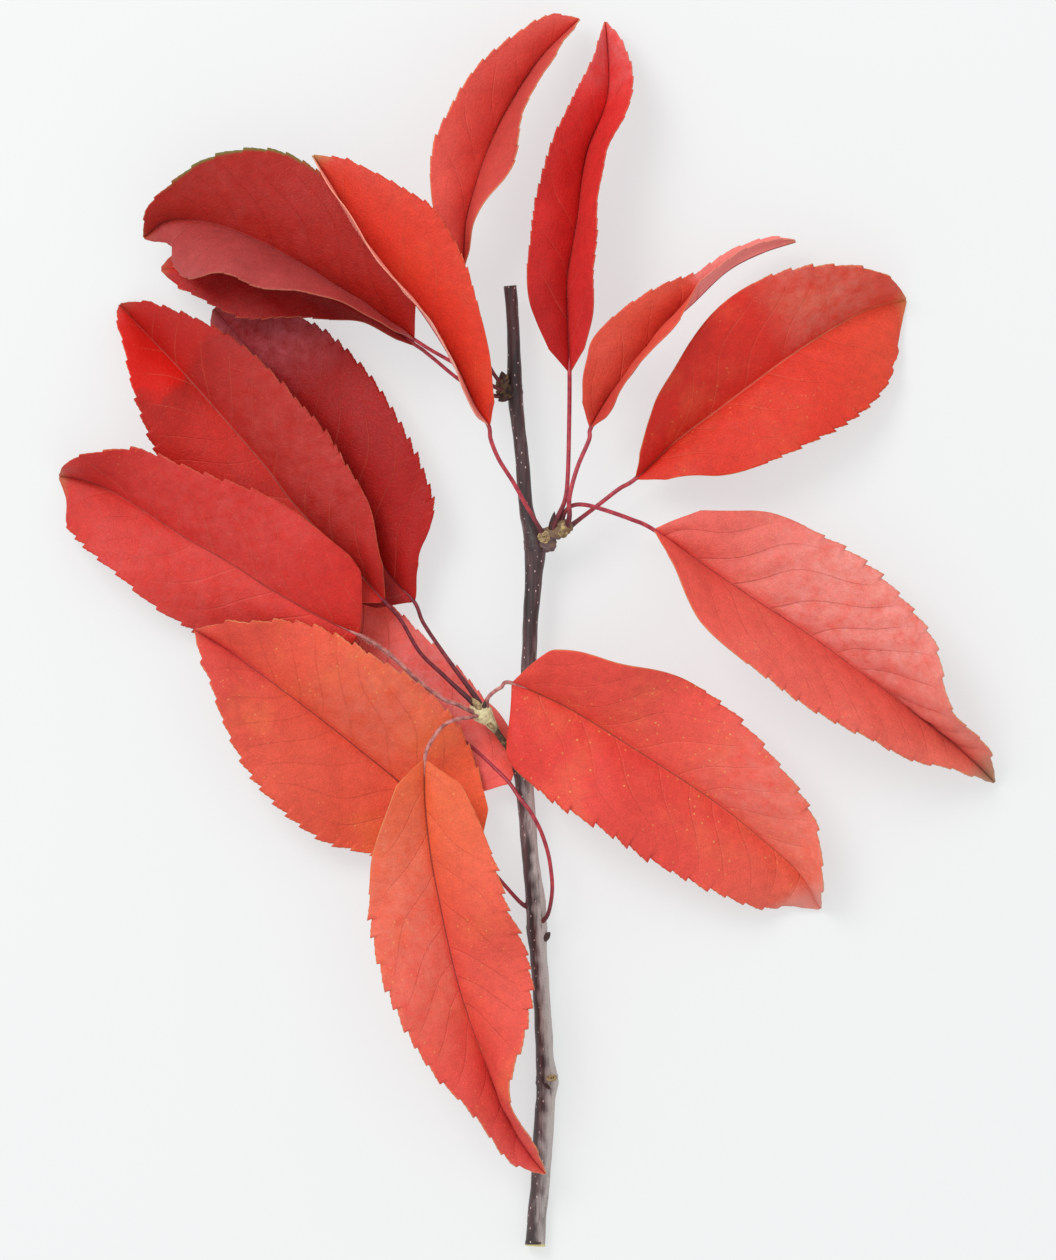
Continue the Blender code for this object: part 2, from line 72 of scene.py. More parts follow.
# Each leaf, in mm: its midrib from base to tip, its stalk from the shoot to the base, and its half
# width at the knots. Left and right say how far each half is raised there, in degrees.
LEAVES = {
    "leaf_a1": {
        "midrib": (
            (-14, 79.5, 14), (-13.5, 88.5, 14), (-12, 95.5, 14), (-8.5, 106, 13), (-3.5, 116, 11),
            (3, 126, 8), (11.5, 134.5, 5),
        ),
        "stalk": ((-5.3, 53.8, 10.2), (-7.9, 57.3, 12), (-12, 66.1, 13), (-15, 76, 13.9)),
        "width": (5, 11, 14, 14.5, 13.5, 10, 6),
        "left": (50, 45, 35, 41, 46, 43, 38),
        "right": (80, 76, 66, 70, 77, 78, 80),
    },
    "leaf_a2": {
        "midrib": (
            (-25, 64, 14.5), (-33, 69, 14.4), (-48, 79.5, 13.6), (-65, 88, 12.5), (-78.2, 90.2, 11),
            (-84.3, 86.4, 10),
        ),
        "stalk": ((-5.1, 52.7, 10.2), (-7.7, 53.8, 12), (-16.3, 58.8, 13.8), (-21.4, 61.7, 14.4)),
        "width": (9, 15, 18.5, 20, 20.5, 15.5, 7),
        "left": (86, 84, 75, 63, 60, 35, 18),
        "right": (30, 25, 20, 16, 17, 31, 55),
    },
    "leaf_a3": {
        "midrib": ((-25, 63, 10), (-39, 71.5, 9.6), (-52, 77, 9.2), (-67.5, 79.5, 8.6), (-80.5, 79.5, 8)),
        "stalk": ((-5.3, 52, 9.6), (-7.3, 51.6, 9.8), (-13.9, 54.4, 10), (-21.4, 60.4, 10.2)),
        "width": (2, 4, 7.5, 10, 11, 8.5, 4.5),
        "left": (50, 60, 45, 30, 25, 20, 15),
        "right": (10, 8, 5, 5, 5, 5, 5),
    },
    "leaf_b1": {
        "midrib": (
            (-8.5, 45, 16), (-11.5, 49.5, 16.8), (-16.5, 59.5, 18.5), (-24, 71, 20.5), (-34.5, 83.5, 22),
            (-42, 95.5, 21.5), (-47, 104, 20),
        ),
        "stalk": (
            (3.7, 20.8, 10), (2.2, 23.4, 11.6), (-0.3, 27.6, 12.8), (-3.1, 32.6, 14), (-6.2, 37.5, 15),
            (-8, 41.9, 15.6),
        ),
        "width": (6, 10, 13, 16.5, 17.5, 13, 6.5),
        "left": (80, 88, 90, 90, 90, 90, 88),
        "right": (47, 41, 32, 25, 22, 23, 23),
    },
    "leaf_b2": {
        "midrib": (
            (9.3, 57, 12), (8.9, 68.5, 12), (8.9, 78, 12), (10.9, 89.5, 11), (13, 104.5, 9.2),
            (17.7, 118, 7), (17.2, 134, 4),
        ),
        "stalk": (
            (5.6, 22.3, 10.3), (6.6, 24.7, 11.8), (8.3, 28.6, 12.7), (8.9, 33.5, 12.5), (9.2, 44.1, 12),
        ),
        "width": (5, 10, 11.5, 12, 11.5, 9, 5),
        "left": (30, 31, 37, 41, 47, 50, 66),
        "right": (45, 57, 62, 73, 69, 52, 47),
    },
    "leaf_b3": {
        "midrib": (
            (14, 44.5, 14), (18, 51, 14.4), (22.5, 56, 14.8), (29.5, 65.5, 15), (36.5, 72, 14.2),
            (44, 79, 12.4), (51.5, 83, 10.6), (59, 85.5, 9),
        ),
        "stalk": (
            (8.8, 22.9, 11), (9.3, 25.2, 13.4), (9.3, 29.3, 14.9), (11, 35.7, 14.6), (13.6, 41.9, 14.3),
        ),
        "width": (6, 11.5, 12.5, 10.6, 4.2, 3.4, 2.6),
        "left": (43, 25, 34, 42, 27, -20, -20),
        "right": (74, 86, 87, 90, 112, 138, 130),
    },
    "leaf_b4": {
        "midrib": (
            (24, 33.5, 8), (32.5, 41.5, 8.2), (42.5, 49, 8), (58, 60.5, 6.5), (70.5, 68.5, 3.6),
            (77, 71.5, 1.9), (83.5, 73, 0.3),
        ),
        "stalk": ((9.2, 22.7, 10), (11.6, 24.5, 9.8), (15.4, 27.4, 9), (20.2, 31.1, 8.4)),
        "width": (6, 13, 17, 19, 19.5, 17, 11),
        "left": (55, 40, 27, 22, 28, 44, 60),
        "right": (36, 25, 20, 15, 13, 5, 5),
    },
    "leaf_b5": {
        "midrib": (
            (28, 22, 10), (40, 13.5, 9.5), (52, 5.5, 9), (62, -1, 8.2), (73, -9, 7), (82.5, -16, 5.4),
            (92.5, -23.5, 3.4), (103, -33.5, 1.2),
        ),
        "stalk": (
            (7.4, 23.8, 10.4), (8.3, 26, 11.8), (9.9, 27.4, 12.5), (12.5, 27.6, 12.5), (16.2, 26.7, 12.1),
            (22.6, 24.5, 11),
        ),
        "width": (10, 18, 20.5, 21, 19.5, 14, 7),
        "left": (18, 8, 15, 22, 38, 72, 54),
        "right": (72, 54, 50, 53, 55, 52, 66),
    },
    "leaf_c1": {
        "midrib": (
            (-31.5, 6.5, 10), (-41, 17, 9), (-51, 27.5, 8.2), (-57.5, 36, 8), (-67, 47, 7.6),
            (-75.5, 56.5, 6.6), (-85, 66.5, 3.4), (-89.8, 71.8, 0.3),
        ),
        "stalk": (
            (-10.8, -17.1, 9.6), (-13, -14.9, 10), (-15.2, -12.9, 10), (-18.5, -9.8, 10), (-23.6, -4.8, 10),
            (-27.8, 2.3, 9.6),
        ),
        "width": (7, 13.5, 16, 16.5, 16, 12, 6.5),
        "left": (12, 0, -8, -6, 7, 29, 56),
        "right": (45, 24, 26, 26, 26, 27, 30),
    },
    "leaf_c2": {
        "midrib": (
            (-25, 6.5, 7), (-31.5, 14, 6), (-40, 31, 5), (-46, 42, 4.2), (-56.5, 56, 2.8), (-69, 71, 1.2),
        ),
        "stalk": ((-10.2, -16.6, 9.4), (-12.1, -13.6, 9.2), (-17.2, -6.7, 8.6), (-22.7, 1.4, 7.6)),
        "width": (7, 16, 18, 18, 17, 14.5, 6.5),
        "left": (-5, -6, -8, -8, -5, 0, 0),
        "right": (22, 18, 17, 15, 12, 14, 20),
    },
    "leaf_c3": {
        "midrib": (
            (-37, -1, 12.5), (-45.5, 3, 11.5), (-57, 9.5, 10.5), (-65.5, 15, 10), (-74.5, 20, 9.2),
            (-82, 24.8, 8), (-91, 30.4, 5.4), (-98.5, 33.4, 3.6), (-103.1, 34, 2.2),
        ),
        "stalk": (
            (-11.3, -18.2, 9.6), (-13.5, -17.3, 11), (-15.2, -16.4, 11.8), (-18.5, -15.1, 12.6),
            (-23.6, -11.4, 13.2), (-28.6, -6.7, 13.2), (-32.4, -3.7, 12.9),
        ),
        "width": (13, 17, 18, 17, 15.5, 14, 10.5),
        "left": (-22, -24, -22, -10, 15, 16, 4),
        "right": (16, 20, 16, 24, 28, 42, 66),
    },
    "leaf_c4": {
        "midrib": (
            (-22.5, -28.5, 14.5), (-22.5, -37.5, 15), (-21.5, -47, 14.6), (-20, -56, 14),
            (-15.5, -76.5, 12.5), (-10, -93, 10.8), (-3.5, -108, 9.2), (0.5, -115, 8.4), (4, -119.5, 7.8),
        ),
        "stalk": (
            (-9.9, -18.4, 9), (-12.4, -19.1, 12.2), (-15.4, -19.5, 13.8), (-18.5, -21, 14.6),
            (-21.2, -24.6, 14.8),
        ),
        "width": (8.5, 13.5, 16.5, 17, 15, 10.5, 6),
        "left": (12, 21, 29, 19, 41, 79, 72),
        "right": (45, 18, 20, 27, 38, 52, 42),
    },
    "leaf_c5": {
        "midrib": (
            (-3.2, -11.6, 11), (9, -17, 11), (23.5, -26, 10), (41, -37.5, 8), (50.5, -45, 6),
            (60.5, -54, 2.8), (64.7, -61.3, 1),
        ),
        "stalk": ((-9.1, -17.1, 9.8), (-8.7, -15, 10.8), (-7.4, -13.6, 11), (-5.8, -12.6, 11)),
        "width": (15.5, 19, 20, 19.5, 18, 14.5, 9),
        "left": (50, 41, 21, 21, 32, 45, 75),
        "right": (0, 6, 20, 18, 17, 15, 5),
    },
    "leaf_d1": {
        "midrib": (
            (-11, -49, 5.6), (-19, -41.5, 5.2), (-28, -33.5, 5.6), (-36, -27, 6.4), (-43.5, -21, 7.2),
            (-52, -14.5, 8.2), (-65, -5, 8.6), (-73, 0, 8),
        ),
        "stalk": ((0.6, -61.1, 4.8), (-1.4, -60, 5.3), (-4.9, -56.2, 5.8), (-7.3, -53.4, 5.9)),
        "width": (9, 15.5, 20.5, 21.5, 19, 13.5, 7),
        "left": (4, 4, 8, 12, 14, 20, 40),
        "right": (15, 8, 22, 30, 24, 15, 40),
    },
    "leaf_d2": {
        "midrib": (
            (-4, -33.5, 7), (-8, -29.5, 4.8), (-13, -25, 3.8), (-18, -21.5, 3.4), (-32.5, -8.5, 2.8),
            (-45.5, 3.5, 2.3), (-59, 15, 1.8),
        ),
        "stalk": (
            (2.8, -64.6, 5.2), (4.6, -62.4, 6.8), (5.5, -57.3, 8.2), (5.2, -52.5, 9), (4.4, -48.3, 9.4),
            (2.8, -43.7, 9.6), (0.6, -39.7, 9.6), (-1.8, -36.7, 8.7),
        ),
        "width": (7, 10.5, 11.8, 11.8, 12, 10, 6.5),
        "left": (-8, -6, -5, -5, -5, -5, -5),
        "right": (-20, -16, -8, -5, -5, -5, -5),
    },
}

# The twig from its cut foot to its cut top: middle line, height and radius.
TWIG = (
    (1.7, -135.7, 1.95, 2.2), (2.2, -128.6, 1.95, 2.12), (2.8, -123.1, 1.95, 2.05),
    (3.5, -111.7, 2.1, 2.25), (4.1, -103.3, 2.4, 2.1), (4.4, -99.4, 2.6, 2.45), (3.9, -94.5, 2.8, 2),
    (3.3, -82.9, 3.3, 1.85), (2.4, -70.3, 3.9, 1.9), (2.2, -66.4, 4.1, 2.25), (1.9, -60.4, 4.4, 2.2),
    (0.8, -50.7, 4.8, 1.85), (0, -41.1, 5.2, 1.9), (-0.7, -33.4, 5.6, 2.05), (-1.4, -26.8, 5.9, 2.3),
    (-0.7, -20.8, 6.1, 1.85), (0.2, -10.3, 6.4, 1.65), (0.8, 2.5, 6.8, 1.65), (1.5, 12.8, 7.1, 2),
    (1.7, 18.3, 7.3, 2.4), (0.6, 23.2, 7.5, 1.75), (-0.3, 27.6, 7.6, 1.55), (-1.1, 37.5, 7.9, 1.5),
    (-1.8, 44.1, 8.1, 1.5), (-2.7, 52.7, 8.4, 1.75), (-2.9, 61.7, 8.7, 1.4), (-3.3, 70.5, 9, 1.35),
    (-3.8, 75.8, 9.2, 1.4),
)
# Rounded lumps of each short shoot: place, height and radius.
SPURS = {
    "spur_top": (
        (-3.6, 52.7, 8.9, 1.5), (-4.9, 52, 9.3, 1.6), (-5.3, 53.8, 9.6, 1.7), (-5.1, 55.3, 9.9, 1.2),
    ),
    "spur_middle": (
        (4.6, 19, 8.6, 1.9), (4.1, 20.8, 9.2, 1.8), (5.5, 21.2, 9.6, 1.6), (7.4, 21.9, 10, 1.7),
        (8.8, 23, 10.4, 1.4), (7, 23.6, 10.5, 1.2),
    ),
    "spur_lower": (
        (-3.3, -26.8, 6.6, 1.7), (-5.1, -24.6, 7.2, 1.7), (-6.6, -22.4, 7.9, 1.8), (-8.4, -19.9, 8.5, 2.3),
        (-9.9, -18.2, 8.9, 2.5), (-11.3, -16.9, 8.9, 1.7),
    ),
}
# One large tooth of the margin with its two small ones: the share of its length, and how far out it stands there.
TOOTH = (
    (0, 0), (0.14, 0.2), (0.3, 0.46), (0.34, 0.33), (0.5, 0.58), (0.62, 0.8), (0.66, 0.66), (0.82, 0.9), (0.95, 1),
)
TOOTH_BAND = 14  # the higher, the closer the teeth keep to the margin
TOOTHED_UP_TO = 0.985  # the share of the blade past which no tooth stands
# Each leaf's large teeth: their pitch and depth in mm, and the share of the left and right margin that has none.
MARGINS = {
    "leaf_a1": (3.2, 0.7, 0.25, 0.3),
    "leaf_a2": (3.0, 0.6, 0.3, 0.3),
    "leaf_a3": (3.2, 0.7, 0.3, 0.3),
    "leaf_b1": (2.8, 0.6, 0.2, 0.3),
    "leaf_b2": (2.6, 0.6, 0.25, 0.2),
    "leaf_b3": (3.6, 0.5, 0.3, 0.3),
    "leaf_b4": (4.0, 0.95, 0.6, 0.3),
    "leaf_b5": (4.8, 1.15, 0.28, 0.3),
    "leaf_c1": (3.6, 0.9, 0.2, 0.2),
    "leaf_c2": (3.2, 1.1, 0.2, 0.15),
    "leaf_c3": (4.6, 1.05, 0.25, 0.4),
    "leaf_c4": (4.4, 1.15, 0.2, 0.25),
    "leaf_c5": (4.8, 1.15, 0.4, 0.16),
    "leaf_d1": (4.0, 1.05, 0.12, 0.1),
    "leaf_d2": (3.8, 0.6, 0.2, 0.2),
}
# How strongly each leaf's tip has dried, from which share of the leaf, and to what colour.
USUAL_TIP = (0.15, 0.985, "#A88A5C")
DRY_TIPS = {
    "leaf_b1": (0.9, 0.975, "#B48A5A"),
    "leaf_b5": (0.85, 0.945, "#B08A70"),
    "leaf_b4": (0.5, 0.985, "#B8A060"),
    "leaf_c3": (0.6, 0.99, "#A88A5C"),
    "leaf_c5": (0.5, 0.93, "#CFA096"),
    "leaf_a3": (0.6, 0.985, "#8A7048"),
    "leaf_b3": (0.5, 0.985, "#B08A58"),
    "leaf_c1": (0.6, 0.985, "#8A4A38"),
}
# The radius in mm of the stalks on each shoot, and the rings of points of a stalk and the points of a ring.
STALK_RADII = {"a": 0.42, "b": 0.48, "c": 0.44, "d": 0.45}
STALK_RINGS = 45
STALK_SIDES = 12
# How much thicker a stalk is at its foot, and over how many mm.
USUAL_FOOT = (0.75, 1.1)
THICK_FEET = {"leaf_c1": (0.75, 5), "leaf_c2": (0.75, 5), "leaf_b2": (0.5, 3), "leaf_b3": (0.5, 3)}
DARK_STALKS = ("leaf_c1", "leaf_c2")
DOWNY_STALKS = ("leaf_c3", "leaf_c4", "leaf_c5")
# The camber of those halves, left 1 or right -1, that are less bowed than the rest.
FLATTER = {("leaf_b1", 1): 0, ("leaf_a1", -1): 1, ("leaf_b2", -1): 5}
WAVES = 2.6  # slow waves along a margin
CALM = {"leaf_a2": 0.15, "leaf_b1": 0.4}  # how much of the slow waves these margins have
# The leaves on which hardly any dry rim shows.
QUIET_RIMS = ("leaf_b2", "leaf_b3", "leaf_c3", "leaf_a2", "leaf_a3", "leaf_c1", "leaf_c2", "leaf_b1")
# How far out on each half the blade has a line of points, as shares of its width.
COLUMNS = (0.03, 0.08, 0.14, 0.21, 0.28, 0.36, 0.44, 0.52, 0.6, 0.68, 0.75, 0.82, 0.88, 0.93, 0.97, 1)
VEIN_SLANT = 0.75  # a side vein runs on this far for each mm it goes out
VEIN_CURVE = 0.02  # and bends by so much for each mm squared
RIPPLE = 0.22  # height in mm of the ripples all over a blade
GROOVE = (0.12, 0.5)  # depth and half width in mm of the groove over a midrib
RIDGE_SHARE = 0.05  # half width of a side vein's ridge, as a share of the distance between two veins
HALF_SIZE = (0.6, 0.5)  # half width in mm where a blade starts and ends

# Each leaf's own colours: its base, middle and tip, then one that lies over its left and one over its right half with
# their shares, and a patch colour with its share. Some half tints are painted light and shade: over leaf_a2's left
# half a painted sheen, over leaf_c2's left half painted shadow of leaf_c1, and over leaf_d2's shaded right half
# painted light.
LEAF_COLOURS = {
    "leaf_a1": ("#E45D51", "#D24439", "#E1594D", ("#F55C50", 0.4), ("#C6534C", 0.5), ("#A97A3C", 0.0)),
    "leaf_a2": ("#B92116", "#A61C14", "#A8261A", ("#A9403F", 0.8), ("#AA1C13", 0.5), ("#A84A48", 0.2)),
    "leaf_a3": ("#980E0E", "#B81712", "#D82F28", ("#990D0C", 0.7), ("#8C1F1A", 0.5), ("#701210", 0.2)),
    "leaf_b1": ("#DC3B23", "#D93F2C", "#CB4030", ("#FF9484", 0.9), ("#D73C29", 0.3), ("#DA5A38", 0.25)),
    "leaf_b2": ("#AF1A19", "#D12B26", "#EE403C", ("#C82321", 0.2), ("#DA3634", 0.5), ("#9C1418", 0.15)),
    "leaf_b3": ("#C84436", "#E35843", "#FF7663", ("#E4533B", 0.4), ("#D9443A", 0.3), ("#C83A3A", 0.15)),
    "leaf_b4": ("#C92217", "#D43021", "#E5593C", ("#CC281D", 0.6), ("#DC3B27", 0.6), ("#E2623C", 0.25)),
    "leaf_b5": ("#DE4C41", "#E46256", "#E67F6B", ("#E56F63", 0.6), ("#E75A4B", 0.5), ("#E8806C", 0.2)),
    "leaf_c1": ("#C32119", "#C2271D", "#9A1A14", ("#FF2614", 0.0), ("#981711", 0.5), ("#9C1A14", 0.2)),
    "leaf_c2": ("#B4120E", "#A31816", "#901D1F", ("#8C1417", 0.7), ("#A61610", 0.5), ("#90140F", 0.3)),
    "leaf_c3": ("#D42C23", "#CE2921", "#BE2E28", ("#DA4036", 0.38), ("#BC201A", 0.45), ("#BE2620", 0.25)),
    "leaf_c4": ("#E8673A", "#E45346", "#DF5756", ("#DD5B46", 0.3), ("#E64F3E", 0.3), ("#EE7A3E", 0.2)),
    "leaf_c5": ("#DE3C34", "#E34E43", "#F2745B", ("#EC5B4B", 0.4), ("#DB4035", 0.4), ("#EA7048", 0.3)),
    "leaf_d1": ("#F76136", "#D84E36", "#CF403E", ("#DF5744", 0.4), ("#E45A38", 0.4), ("#EE7E40", 0.25)),
    "leaf_d2": ("#F4847C", "#CC5C54", "#D04450", ("#E0604C", 0.4), ("#FF6248", 0.9), ("#F8A09C", 0.35)),
}
# How clearly a leaf's pale specks show, and how strongly it swells between its veins.
SPECKLED = {
    "leaf_c5": 0.95, "leaf_c4": 0.6, "leaf_d1": 0.6, "leaf_b5": 0.5, "leaf_c1": 0.08, "leaf_b4": 0.3, "leaf_c3": 0.15,
}
PUCKERED = {"leaf_b5": 2.0, "leaf_c2": 1.5, "leaf_c5": 1.3, "leaf_d1": 1.3, "leaf_c4": 1.2}
ONE_SIDED = {"leaf_b5": (1.7, 0.4)}  # how much of its puckers and dark veins the left and the right half has
UPSIDE_DOWN = ("leaf_d2",)
PALE_MIDRIB = {"leaf_b4": 0.45, "leaf_b5": 0.8}  # the share from which a midrib pales
DARK_VEINS = ("leaf_b5", "leaf_a2", "leaf_a3", "leaf_d1", "leaf_d2", "leaf_c4")
# The colour of an underside where it isn't the usual one. leaf_d2's is partly painted light: made bright to stand in
# for the light that shines through the blade.
UNDERSIDES = {
    "leaf_a1": "#CE4A46", "leaf_a2": "#8C3040", "leaf_a3": "#6A1A26", "leaf_b1": "#D86A5A", "leaf_b2": "#C83038",
    "leaf_b3": "#F09088", "leaf_d2": "#EE4E46",
}
# Painted sheen: pale grainy streaks that stand in for window light reflected by the waxy skin. Share of the leaf at
# its middle and to its end, the half it lies on (left 1, right -1, both 0), how strong it is, and its colour.
USUAL_PAINTED_SHEEN = (0.5, 0.5, 0, 0.1, "#D87068")
PAINTED_SHEEN = {
    "leaf_b1": (0.2, 0.5, 1, 0.8, "#FFC0B4"),
    "leaf_b2": (0.98, 0.22, 0, 0.6, "#DC8684"),
    "leaf_b4": (0.76, 0.2, 1, 0.38, "#E89A88"),
    "leaf_b5": (0.55, 0.42, 1, 0.5, "#F6B4AA"),
    "leaf_c1": (0.4, 0.35, -1, 0.3, "#D0605A"),
    "leaf_c2": (0.9, 0.26, 0, 0.55, "#D8707A"),
    "leaf_c3": (0.5, 0.4, 0, 0.2, "#E07A74"),
    "leaf_c5": (0.8, 0.35, 1, 0.45, "#EE9A8A"),
    "leaf_d1": (0.46, 0.26, -1, 0.2, "#F0A08C"),
    "leaf_c4": (0.35, 0.35, -1, 0.4, "#F0967E"),
    "leaf_d2": (0.35, 0.3, 0, 0.55, "#F4A4A4"),
}
# A leaf whose end part is brighter: from which share, how strongly, how much of that its right half has, and its
# colour. On leaf_c1 this bright end is painted light shining through the blade where no other leaf lies under it.
BRIGHT_ENDS = {"leaf_c1": (0.76, 0.8, 0.3, "#E21A0E"), "leaf_b3": (0.62, 0.7, 1.0, "#F08C88")}
# A margin that is still green: the half it is on, from which share to which, and its colour.
GREEN_MARGINS = {"leaf_a2": (-1, 0.48, 0.84, "#6A6E34")}
# The colour of a midrib where it isn't the usual dark one.
MIDRIBS = {
    "leaf_b4": "#E06A50", "leaf_b5": "#A83432", "leaf_c5": "#9A3C28", "leaf_c1": "#A04A40", "leaf_a1": "#9C2E2A",
    "leaf_b1": "#E0806A", "leaf_c3": "#98302A", "leaf_b2": "#7E1416",
}
HAIRY_STALK = "leaf_c3"
# The buds and loose scales on each short shoot: foot, tip, radius, and which surface they have.
SPUR_BUDS = {
    "spur_top": (((-5.0, 54.0, 9.9), (-5.6, 57.0, 10.4), 1.1, 1), ((-4.4, 51.6, 9.6), (-6.4, 50.4, 10.2), 1.0, 1)),
    "spur_middle": (
        ((5.3, 21.8, 10.2), (6.0, 26.2, 11.2), 0.75, 1),
        ((7.6, 22.6, 10.6), (9.6, 24.0, 11.2), 1.15, 3),
    ),
    "spur_lower": (
        ((-10.2, -17.4, 10.3), (-12.2, -14.8, 10.9), 0.8, 3),
        ((-9.6, -17.4, 10.3), (-9.0, -15.0, 10.9), 0.5, 1),
        ((-8.6, -20.4, 9.6), (-7.0, -21.8, 9.6), 0.55, 3),
    ),
}
# Old bud stubs that end in rings: place, heading and radius.
BUD_RINGS = {
    "spur_middle": (((3.7, 20.5, 10.8), (-0.2, -0.1, 1.0), 1.4), ((8.0, 21.4, 11.3), (0.4, -0.2, 1.0), 1.1)),
}
RING_PITCH = 1.05  # mm from one ring of a shoot to the next
VOXEL = 0.16  # mm; the grid on which a shoot's lumps run together
# Each shoot's skin: the depth of its rings and of its lumps in mm, its old and young colour, and how much of each
# lump's radius shows through the skin.
SPUR_SKIN = {
    "spur_top": (0.13, 0.25, "#2C1E1C", "#5A4A34", (1, 1, 1, 1)),
    "spur_middle": (0.1, 0.2, "#6A5458", "#7E6448", (1, 0.95, 0.95, 0.95, 0.95, 0.9)),
    "spur_lower": (0.03, 0.1, "#54402E", "#E2D6A6", (0.5, 0.42, 0.42, 0.6, 0.92, 0.85)),
}
# The twig's side buds: foot, tip and radius. Then the places of its nodes, the fine scars that ring it there, the
# steps and sides of its mesh, where the pale grey skin with its painted light begins, and each leaf scar with its
# heading and size, all in mm.
SIDE_BUDS = (((3.5, -68.2, 4.6), (5.1, -66.4, 5.6), 0.85), ((3.9, -99.7, 4.6), (5.2, -101.2, 4.7), 0.6))
NODES = (52.8, 19.1, -27.3, -60.5, -66.0, -99.2)
SCAR_RINGS = (-0.7, 0, 0.8)
SCAR_HEIGHT, SCAR_WIDTH = 0.13, 0.22
TWIG_STEP, TWIG_SIDES = 0.55, 44
FILM_AND_PAINTED_LIGHT_FROM = 5
LEAF_SCARS = (((5.5, -98.5, 4.9), (0.4, 0.3, 0.87), 1.35), ((2.4, -129.6, 3.9), (0.1, 0.0, 1.0), 0.55))
ABOVE_TABLE = 0.01  # mm that every point of the twig keeps above the table
BLADE_ABOVE_TABLE = (0.3, 0.02)  # mm that the upper and the under face of a blade keep above it
PORE_DENSITY = 260000.0  # breathing pores to a square metre of bark, before the least distance thins them
HAIR_SPACING, HAIR_DENSITY = 0.22, 2e7  # the same for the hairs: their least distance in mm, and their number
DAYLIGHT = (0.97, 0.99, 1.0, 1)
CUT_SIDES = 36  # points round a cut end
CUT_BACK = 0.14  # how far in mm a cut face is set back, so that its dished ring ends where the twig does


def linear(colour):
    """An sRGB hex colour as linear red, green and blue."""
    parts = [int(colour[k : k + 2], 16) / 255 for k in (1, 3, 5)]
    return tuple(c / 12.92 if c <= 0.04045 else ((c + 0.055) / 1.055) ** 2.4 for c in parts)


def swatch(name, description, colour):
    return FloatVectorProperty(
        name=name, description=description, subtype="COLOR", size=3, min=0, max=1, default=linear(colour)
    )


def length(name, description, millimetres):
    return FloatProperty(
        name=name, description=description, subtype="DISTANCE", unit="LENGTH", min=0, default=millimetres * MM
    )


def scale(name, description, least):
    return FloatProperty(name=name, description=description, min=least, default=1)


class LEAFTWIG_PG_leaves(bpy.types.PropertyGroup):
    thickness: length("Blade thickness", "Thickness of a leaf blade", 0.26)
    tooth_pitch: scale("Tooth pitch", "Scale of the distance between large teeth", 0.5)
    tooth_depth: scale("Tooth depth", "Scale of how far the teeth stand out", 0)
    tooth_lean: length("Tooth lean", "How far a tooth leans to the leaf's tip", 0.4)
    wave: length("Wave height", "Height of the slow waves along a blade's margin", 0.7)
    quilt: length("Quilting", "How far the blade swells between its side veins", 0.24)
    vein_spacing: length("Vein spacing", "Distance between the side veins along the midrib", 8.6)
    vein_ridge: length("Vein ridge", "How far a side vein stands out of the underside", 0.14)
    stalk_size: scale("Stalk size", "Scale of the leaf stalks' thickness", 0.2)
    midrib: swatch("Midrib", "Colour of the midrib and of the dark side veins", "#7E1E20")
    pale_vein: swatch("Pale vein", "Colour of the outer midrib on the brightest leaves", "#E07A5C")
    rim: swatch("Rim", "Colour of the dry rim along the teeth", "#D8A268")
    underside: swatch("Underside", "Colour of the underside of a leaf", "#C65A60")
    stalk: swatch("Stalk", "Colour of the leaf stalks", "#C2404A")
    downy: swatch("Downy stalk", "Colour of the young downy stalks", "#D08C84")
    speck: swatch("Specks", "Colour of the small pale specks", "#E9A25C")


class LEAFTWIG_PG_bark(bpy.types.PropertyGroup):
    wrinkle: length("Wrinkle depth", "Depth of the long wrinkles in the bark", 0.05)
    lenticel_length: length("Lenticel length", "Length of the pale breathing pores", 0.48)
    lenticel_spacing: length("Lenticel spacing", "Least distance between the breathing pores", 1.35)
    hair_length: length("Hair length", "Length of the pale hairs on a young stalk", 0.55)
    hair_seed: IntProperty(name="Seed", description="Seed of the scattered pores and hairs", min=0, default=4)
    dark: swatch("Dark bark", "Colour of the smooth dark bark", "#342627")
    brown: swatch("Brown bark", "Colour of the bark in its warmer patches", "#5C3E40")
    # This colour also paints light on the twig's pale side towards +X.
    grey: swatch("Grey film", "Colour of the thin grey skin over older bark", "#BEB3AE")
    lenticel: swatch("Lenticels", "Colour of the breathing pores", "#E2CAC4")
    young: swatch("Bud rings", "Colour of the tan bud rings and leaf scars", "#CBB07C")
    scale: swatch("Bud scales", "Colour of the bud scales", "#4A2A24")
    wood: swatch("Cut wood", "Colour of the freshly cut wood", "#E8D890")


class LEAFTWIG_PG_stage(bpy.types.PropertyGroup):
    floor: swatch("Floor", "Colour of the pale table", "#9A9B99")
    glow: FloatProperty(
        name="Table glow", description="Light that the white table gives from below", min=0, default=0.57
    )
    key: FloatProperty(name="Window light", description="Power of the large soft light", unit="POWER", default=7.5)
    sky: FloatProperty(name="Room light", description="Strength of the even light all round", default=0.78)
    distance: length("Camera distance", "Height of the camera over the table", 3088)


def smooth(values, at):
    """A smooth curve through values, read at positions counted in values."""
    p = np.asarray(values, float)
    flat = p.ndim == 1
    if flat:
        p = p[:, None]
    p = np.vstack([2 * p[0] - p[1], p, 2 * p[-1] - p[-2]])
    i = np.clip(np.asarray(at, float).astype(int), 0, len(p) - 4)
    f = (np.asarray(at, float) - i)[:, None]
    a, b, c, d = p[i], p[i + 1], p[i + 2], p[i + 3]
    curve = 0.5 * (2 * b + (c - a) * f + (2 * a - 5 * b + 4 * c - d) * f**2 + (3 * b - a - 3 * c + d) * f**3)
    return curve[:, 0] if flat else curve


